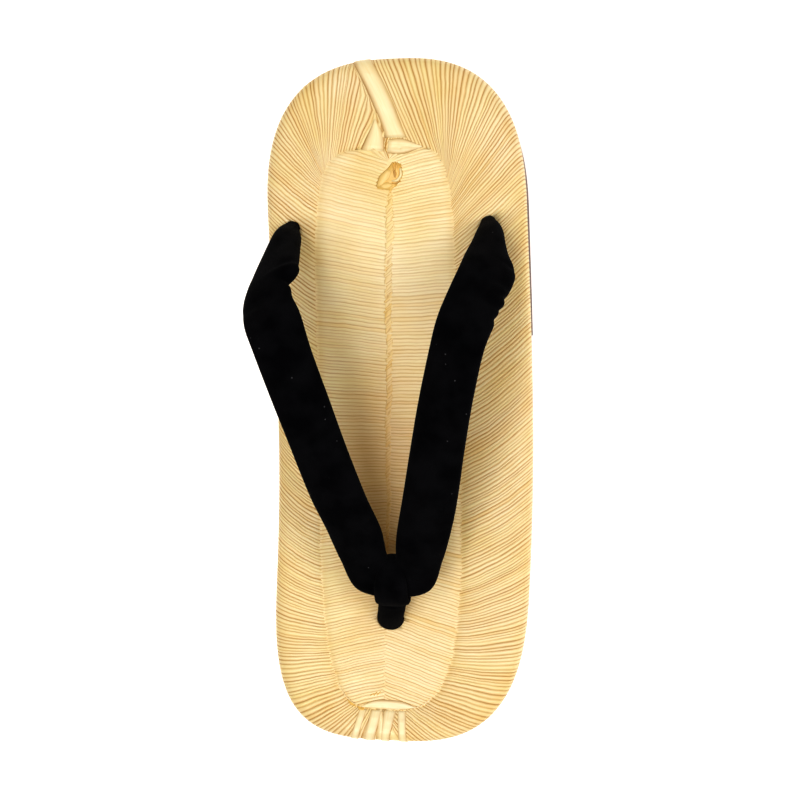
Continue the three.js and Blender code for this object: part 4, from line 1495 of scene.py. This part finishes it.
# %% [markdown]
# ## The strap
# The hanao is a padded velvet tube. It comes up from a hole at each side of the heel, folds over, runs
# forward over the foot and meets itself in a V between the toes. It is one loft through listed sections:
# each row gives the outer and the inner edge as outward, towards the toe and above the mat, then its
# thickness, and how far both sides lean towards +X, because a strap set by hand never sits quite true.

# %% Strap sections
STRAP_ROWS = [
    ("hole bottom", (41, -68.2, -8), (36, -66.2, -8), 6.0, -1.9),
    ("hole mouth", (41.2, -67.4, 1), (35.8, -65.4, 1), 6.2, -1.8),
    ("neck", (42.8, -62, 19), (33, -59, 17), 7.6, 0.4),
    ("gather", (44.6, -51, 30), (30.2, -51.5, 34), 8.0, 0.8),
    ("inner fold", (46, -43, 37), (28.8, -45, 45), 7.5, 0.6),
    ("shoulder", (46, -34, 47), (26.4, -36.5, 50.5), 7.0, -0.4),
    ("outer fold", (43.4, -26, 56), (23.4, -27.5, 52), 7.0, -1.0),
    ("crest", (39.6, -16.3, 58), (20.6, -17, 51), 7.0, -1.3),
    ("instep", (35, 0, 54.6), (15.8, 0, 48), 7.0, -1.1),
    ("mid arm", (30.8, 16.7, 48.6), (11.4, 16.7, 44.6), 7.0, -0.5),
    ("front arm", (26.8, 34, 39.8), (6.8, 34, 38.2), 7.0, 0.2),
    ("V mouth", (23.2, 46.2, 31.6), (3.2, 46.2, 30.4), 6.8, 0.7),
    ("V side", (19.2, 58.6, 24), (2.2, 52, 27.6), 6.8, 0.8),
    ("V corner", (13.8, 70.6, 16.6), (1.7, 57, 24), 7.4, 0.8),
]
BRIDGE = ("bridge", (0, 73.4, 15.2), (0, 61, 20.5), 8.5, 0.8)
STRAP_STEPS = 14
STRAP_SIDES = 40
FULLNESS = 2.5


def strap_point(place, side, lean):
    outward, to_toe, above = place
    y = -float(to_toe)
    return np.array([float(sole_centre(y)) + side * outward + lean, y, float(board_top(y)) + above])


def strap_section(row, side):
    _, outer, inner, thick, lean = row
    return strap_point(outer, side, lean), strap_point(inner, side, lean), thick


def round_power(value, power):
    return np.sign(value) * np.abs(value) ** (2.0 / power)


sections = [strap_section(row, -1) for row in STRAP_ROWS]
sections.append(strap_section(BRIDGE, 1))
sections += [strap_section(row, 1) for row in reversed(STRAP_ROWS)]
BRIDGE_ROW = len(STRAP_ROWS)
print("strap sections:", len(sections))

# %% [markdown]
# ## Creases in the velvet
# The cover is drawn tight in most places, but it bunches where it turns down into the holes, where it
# folds over at the heel ends and where the two arms press together at the V. Each crease is listed as a
# soft trough or ridge: which row it lies on, where across the face, how it slants, and its length, width
# and depth. A second short table pulls the strap's own edges in or out, for the folds that show in its
# outline.

# %% Creases
CREASE_COLUMNS = ("row", "across", "slant", "long", "wide", "deep")
CREASE_TABLE = [
    (1.6, 0.45, 0.0, 9.0, 1.3, -0.8),
    (1.6, -0.4, 0.1, 9.0, 1.3, -0.7),
    (2.7, 0.1, -0.2, 8.0, 1.6, -0.6),
    (3.6, -0.75, 0.9, 6.0, 1.5, -1.1),
    (4.2, -0.3, 0.8, 8.0, 1.8, 0.5),
    (5.5, 0.6, 1.1, 7.0, 1.6, -0.7),
    (6.3, 0.35, 0.8, 9.0, 2.0, 0.4),
    (12.2, -0.2, 0.4, 10.0, 2.0, -0.5),
    (13.2, 0.3, -0.3, 7.0, 1.6, -0.8),
    (13.6, -0.35, 0.3, 6.0, 1.3, 0.5),
    (15.0, 0.35, 0.5, 7.0, 1.6, -0.8),
    (16.1, 0.0, -0.5, 9.0, 1.8, -0.5),
    (21.8, 0.5, -0.9, 8.0, 1.8, 0.4),
    (22.6, 0.75, -1.1, 6.0, 1.4, -0.8),
    (23.4, 0.8, -1.2, 6.0, 1.3, -0.8),
    (24.2, 0.8, -1.2, 5.0, 1.3, -0.7),
    (25.2, -0.2, 0.1, 8.0, 1.5, -0.6),
    (26.4, 0.4, 0.0, 9.0, 1.3, -0.8),
    (26.4, -0.4, 0.0, 9.0, 1.3, -0.7),
]
CREASES = [dict(zip(CREASE_COLUMNS, values)) for values in CREASE_TABLE]
EDGE_FOLDS = [
    {"edge": "inner", "row": 3.7, "long": 3.2, "deep": -1.2},
    {"edge": "inner", "row": 4.34, "long": 2.4, "deep": 2.6},
    {"edge": "inner", "row": 4.8, "long": 5.5, "deep": 1.8},
    {"edge": "outer", "row": 24.0, "long": 7.0, "deep": -1.7},
    {"edge": "outer", "row": 23.05, "long": 1.6, "deep": 0.9},
    {"edge": "outer", "row": 22.55, "long": 1.5, "deep": 0.8},
    {"edge": "outer", "row": 22.15, "long": 1.7, "deep": 1.0},
]


def pulled_in(edge, along_mm, row_mm):
    """How far one edge of the strap is pulled in by its folds, at distances along the strap."""
    total = np.zeros_like(along_mm)
    for fold in EDGE_FOLDS:
        if fold["edge"] == edge:
            off = along_mm - np.interp(fold["row"], np.arange(len(row_mm)), row_mm)
            total += fold["deep"] * np.exp(-(off / fold["long"]) ** 2)
    return total[:, None]


def crease_depth(along_mm, row_mm, across, half_width):
    """The height of all creases at points given by distance along the strap and share across its face."""
    total = np.zeros_like(across)
    for crease in CREASES:
        along = along_mm - np.interp(crease["row"], np.arange(len(row_mm)), row_mm)
        sideways = (across - crease["across"]) * half_width
        run = along * math.cos(crease["slant"]) + sideways * math.sin(crease["slant"])
        off = sideways * math.cos(crease["slant"]) - along * math.sin(crease["slant"])
        total += crease["deep"] * np.exp(-(run / crease["long"]) ** 2 * 2 - (off / crease["wide"]) ** 2)
    return total


print("creases:", len(CREASES), "edge folds:", len(EDGE_FOLDS))

# %% [markdown]
# ## Lofting the strap
# A curve with a bevel would give a tube of one section, but this strap changes from a round neck to a flat
# padded band and twists on its way. So two smooth curves run through the outer and the inner edges of the
# sections, a rounded rectangle is set across them at every step, and the creases and edge folds move its
# points. The same function, grown a little and without creases, later cuts the holes.

# %% Strap loft
CREASE_ON_EDGES = {"rate": 1.4, "least": 0.25, "sideways": 0.8}


def strap_rings(grow=0.0, overrun=0.0, sides=STRAP_SIDES, creased=True):
    """Rings of points along the strap, grown all round and run on past its ends by a share of a row."""
    outer_rows = np.array([s[0] for s in sections])
    inner_rows = np.array([s[1] for s in sections])
    for ends in (outer_rows, inner_rows):
        ends[0] -= (ends[1] - ends[0]) * overrun
        ends[-1] -= (ends[-2] - ends[-1]) * overrun
    at = np.linspace(0.0, len(sections) - 1, (len(sections) - 1) * STRAP_STEPS + 1)
    outer = through(outer_rows, at)
    inner = through(inner_rows, at)
    thick = through(np.array([[s[2]] for s in sections]), at)
    middle = (outer + inner) / 2
    across = outer - inner
    half_width = np.linalg.norm(across, axis=1, keepdims=True) / 2
    forward = np.gradient(middle, axis=0)
    face = unit(np.cross(across, forward))
    across = across / (2 * half_width)
    along_mm = running_length(middle)
    row_mm = along_mm[::STRAP_STEPS]
    if creased:
        outer = outer - across * pulled_in("outer", along_mm, row_mm)
        inner = inner + across * pulled_in("inner", along_mm, row_mm)
        middle = (outer + inner) / 2
        half_width = np.linalg.norm(outer - inner, axis=1, keepdims=True) / 2
    angle = np.linspace(0.0, 2 * np.pi, sides, endpoint=False)
    sideways = round_power(np.cos(angle), FULLNESS)
    upwards = round_power(np.sin(angle), FULLNESS)
    crease = np.zeros((len(at), sides))
    if creased:
        crease = crease_depth(along_mm[:, None], row_mm, np.broadcast_to(sideways, crease.shape), half_width)
        crease = crease * smoothstep(np.abs(upwards) * CREASE_ON_EDGES["rate"] + CREASE_ON_EDGES["least"])
    spread = np.cos(angle) * np.abs(np.cos(angle)) * CREASE_ON_EDGES["sideways"]
    wide = (half_width + grow) * sideways + crease * spread
    tall = (thick / 2 + grow) * upwards + crease * np.sin(angle)
    return middle[:, None] + across[:, None] * wide[..., None] + face[:, None] * tall[..., None]


def skin(name, rings, material=None, closed=False):
    """A closed mesh through rings of points, with both ends capped unless the rings form a loop."""
    count, sides = rings.shape[:2]
    faces = ring_faces(count, sides, closed)
    if not closed:
        faces.append(tuple(range(sides))[::-1])
        faces.append(tuple(range((count - 1) * sides, count * sides)))
    return closed_piece(name, rings.reshape(-1, 3), faces, material)


strap = skin("velvet_strap", strap_rings(), velvet)

# %% [markdown]
# ## The toe loop
# The maetsubo is a short velvet loop that wraps the V of the strap and stands in the front hole, between
# the first two toes. It is worked out as two simple forms: a ring round the strap, wider in front than in
# the fork of the V, and a post that leans forward on its way down into the hole.

# %% Ring and post
LOOP = {"wall": 3.4, "front": 6.5, "fork": 3.4, "top": 6.4, "under": 5.2, "clearance": 0.3, "fullness": 2.5}
POST_ROWS = [
    ("in the loop", 75.0, 15.0, 11.0, 7.0, 0.4),
    ("below the loop", 80.6, 7.5, 10.6, 8.0, -1.2),
    ("hole mouth", 84.8, 0.0, 10.2, 8.6, -2.8),
    ("hole bottom", 86.4, -8.0, 9.8, 8.6, -3.0),
]
POST_STEPS = 13
LOOP_STEPS = 64
LOOP_SIDES = 24


def loop_rings():
    outer, inner, thick = sections[BRIDGE_ROW]
    middle = (outer + inner) / 2
    wide = outer - inner
    reach_wide = np.linalg.norm(wide) / 2 + LOOP["clearance"] + LOOP["wall"] / 2
    reach_tall = thick / 2 + LOOP["clearance"] + LOOP["wall"] / 2
    wide = unit(wide)
    tall = np.cross([1.0, 0.0, 0.0], wide)
    tall = tall * np.sign(tall[2])
    angle = np.linspace(0.0, 2 * np.pi, LOOP_SIDES, endpoint=False)
    along_x = round_power(np.cos(angle), LOOP["fullness"])
    outwards = LOOP["wall"] / 2 * round_power(np.sin(angle), LOOP["fullness"])
    rings = []
    for around in np.linspace(0.0, 2 * np.pi, LOOP_STEPS, endpoint=False):
        ahead = math.cos(around)
        above = math.sin(around)
        lengthways = LOOP["front"] if ahead > 0 else LOOP["fork"]
        upright = LOOP["top"] if above > 0 else LOOP["under"]
        half = lengthways * ahead * ahead + upright * above * above
        centre = middle + wide * reach_wide * ahead + tall * reach_tall * above
        away = unit(wide * ahead * reach_tall + tall * above * reach_wide)
        rings.append(centre + np.outer(half * along_x, [1.0, 0.0, 0.0]) + np.outer(outwards, away))
    return np.array(rings)


def post_rings(grow=0.0, overrun=0.0):
    rows = np.array([(*strap_point((0.0, to_toe, above), 1, lean), across, along)
                     for _, to_toe, above, across, along, lean in POST_ROWS])
    rows[-1, :3] += (rows[-1, :3] - rows[-2, :3]) * overrun
    smooth = through(rows, np.linspace(0.0, len(rows) - 1, POST_STEPS))
    angle = np.linspace(0.0, 2 * np.pi, LOOP_SIDES, endpoint=False)
    rings = []
    for x, y, z, across, along in smooth:
        ring_x = x + (across / 2 + grow) * np.cos(angle)
        ring_y = y + (along / 2 + grow) * np.sin(angle)
        rings.append(np.column_stack([ring_x, ring_y, np.full(LOOP_SIDES, z)]))
    return np.array(rings)


print("post rows:", len(POST_ROWS))

# %% [markdown]
# ## One velvet skin
# A sewn tube is one piece, so ring and post become one skin. A boolean join would leave a sharp line where
# they meet. A voxel remesh closes both forms into one surface, and a few rounds of smoothing ease the
# corner between them.

# %% Toe loop
LOOP_VOXEL = 0.00055
LOOP_EASE = {"factor": 0.5, "rounds": 4}

toe_loop = skin("velvet_toe_loop", loop_rings(), velvet, closed=True)
post = skin("post_form", post_rings())
joined = bmesh.new()
joined.from_mesh(toe_loop.data)
joined.from_mesh(post.data)
joined.to_mesh(toe_loop.data)
joined.free()
bpy.data.objects.remove(post)
remesh = toe_loop.modifiers.new("one_skin", "REMESH")
remesh.mode = "VOXEL"
remesh.voxel_size = LOOP_VOXEL
remesh.use_smooth_shade = True
ease = toe_loop.modifiers.new("ease", "SMOOTH")
ease.factor = LOOP_EASE["factor"]
ease.iterations = LOOP_EASE["rounds"]
settle(toe_loop)
print("toe loop:", len(toe_loop.data.polygons), "faces")

# %% [markdown]
# ## Holes for the strap
# The two ends of the strap and the post of the toe loop go down through the mat. The holes are cut with
# grown copies of those forms, so each hole is a hair wider than what stands in it. Blender's Manifold
# solver does this fast on closed meshes and keeps the UV map.

# %% Holes
HOLE_CLEARANCE = 0.3
HOLE_OVERRUN = 0.5


def cut_holes(piece, *cutters):
    for cutter in cutters:
        modifier = piece.modifiers.new("hole", "BOOLEAN")
        modifier.operation = "DIFFERENCE"
        modifier.solver = "MANIFOLD"
        modifier.object = cutter
    settle(piece)
    for cutter in cutters:
        bpy.data.objects.remove(cutter)


HOLE_SIDES = 16
SHAFT_ROWS = 4
strap_room = strap_rings(HOLE_CLEARANCE, HOLE_OVERRUN, HOLE_SIDES, creased=False)
shaft = SHAFT_ROWS * STRAP_STEPS
hole_cutters = [
    skin("left_hole", strap_room[:shaft], twisted_bamboo),
    skin("right_hole", strap_room[-shaft:], twisted_bamboo),
    skin("front_hole", post_rings(HOLE_CLEARANCE, HOLE_OVERRUN), twisted_bamboo),
]
before_holes = len(mat.data.polygons)
cut_holes(mat, *hole_cutters)
print("mat with holes:", before_holes, "->", len(mat.data.polygons), "faces")

# %% [markdown]
# ## Stage and light
# The photograph is a studio shot on white. A broad soft light hangs high on the toe side and another to
# the right, so the straps shade the mat between them while its ends stay bright. Two small lights above
# the left side put some gloss on the toe and the heel. The floor glows a little, like the light tables
# used for such pictures, so its shadows are faint.

# %% Floor and lights
FLOOR_SIZE = 6.0
FLOOR_WHITE = colour(250, 250, 250)
FLOOR_FINISH = {
    "Base Color": FLOOR_WHITE,
    "Roughness": 0.8,
    "Specular IOR Level": 0.1,
    "Emission Color": FLOOR_WHITE,
    "Emission Strength": 0.55,
}
LIGHTS = [
    ("key_softbox", (0.0, -0.25, 1.15), (0.7, 0.4), 5.5),
    ("right_softbox", (0.6, 0.0, 0.9), (0.4, 0.6), 3.5),
    ("toe_softbox", (-0.34, -0.37, 1.15), (0.12, 0.16), 0.5),
    ("heel_softbox", (-0.14, 0.23, 1.15), (0.24, 0.3), 1.8),
]


def make_floor():
    half = FLOOR_SIZE / 2
    corners = [(-half, -half, 0), (half, -half, 0), (half, half, 0), (-half, half, 0)]
    mesh = bpy.data.meshes.new("floor")
    mesh.from_pydata(corners, [], [(0, 1, 2, 3)])
    floor = bpy.data.objects.new("floor", mesh)
    scene.collection.objects.link(floor)
    mesh.materials.append(new_material("pale_floor", FLOOR_FINISH)[0])
    return floor


def add_area_light(name, place, size, power):
    data = bpy.data.lights.new(name, "AREA")
    data.shape = "RECTANGLE"
    data.size, data.size_y = size
    data.energy = power
    light = bpy.data.objects.new(name, data)
    scene.collection.objects.link(light)
    light.location = place
    light.rotation_euler = (-Vector(place)).to_track_quat("-Z", "Y").to_euler()
    return light


floor = make_floor()
lights = [add_area_light(name, place, size, power) for name, place, size, power in LIGHTS]
print("lights:", [light.name for light in lights])

# %% [markdown]
# ## World and view
# A world is the light from all around. A warm and dim one fills the shadows under the strap with the
# colour that the mat throws back. Seen past the floor's edge it would look brown, so the camera is shown a
# pale backdrop in its place. A gamma below one deepens the grooves and the black of the velvet.

# %% World and view
FILL = {"Color": (1.0, 0.74, 0.42, 1.0), "Strength": 0.3}
BACKDROP = {"Color": FLOOR_WHITE, "Strength": 0.8}
VIEW = {"gamma": 0.75, "exposure": 0.1}

world = bpy.data.worlds.new("studio")
world.use_nodes = True
sky = world.node_tree
sky.nodes.clear()
fill = add_node(sky, "ShaderNodeBackground", FILL).outputs[0]
backdrop = add_node(sky, "ShaderNodeBackground", BACKDROP).outputs[0]
seen = add_node(sky, "ShaderNodeLightPath").outputs["Is Camera Ray"]
both = add_node(sky, "ShaderNodeMixShader", {0: seen, 1: fill, 2: backdrop}).outputs[0]
add_node(sky, "ShaderNodeOutputWorld", {"Surface": both})
scene.world = world
scene.view_settings.view_transform = "Standard"
scene.view_settings.gamma = VIEW["gamma"]
scene.view_settings.exposure = VIEW["exposure"]
print("view:", VIEW)

# %% [markdown]
# ## Joining the frame
# Every piece rides on the sandal's one body, and each main piece stands for its imported node, which is
# hidden. Strap and loop are stuffed.

# %% Ride and replace
for piece, node, slot in (
    (mat, "woven_top", "bamboo_sheath"),
    (outsole, "outsole", "sole_leather"),
    (heel_lift, "heel_lift", "sole_leather"),
    (strap, "strap", "velvet"),
    (toe_loop, "toe_loop", "velvet"),
):
    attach(piece, "root")
    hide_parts(node)
for piece in laid_pieces:
    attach(piece, "root")

bpy.context.view_layer.update()
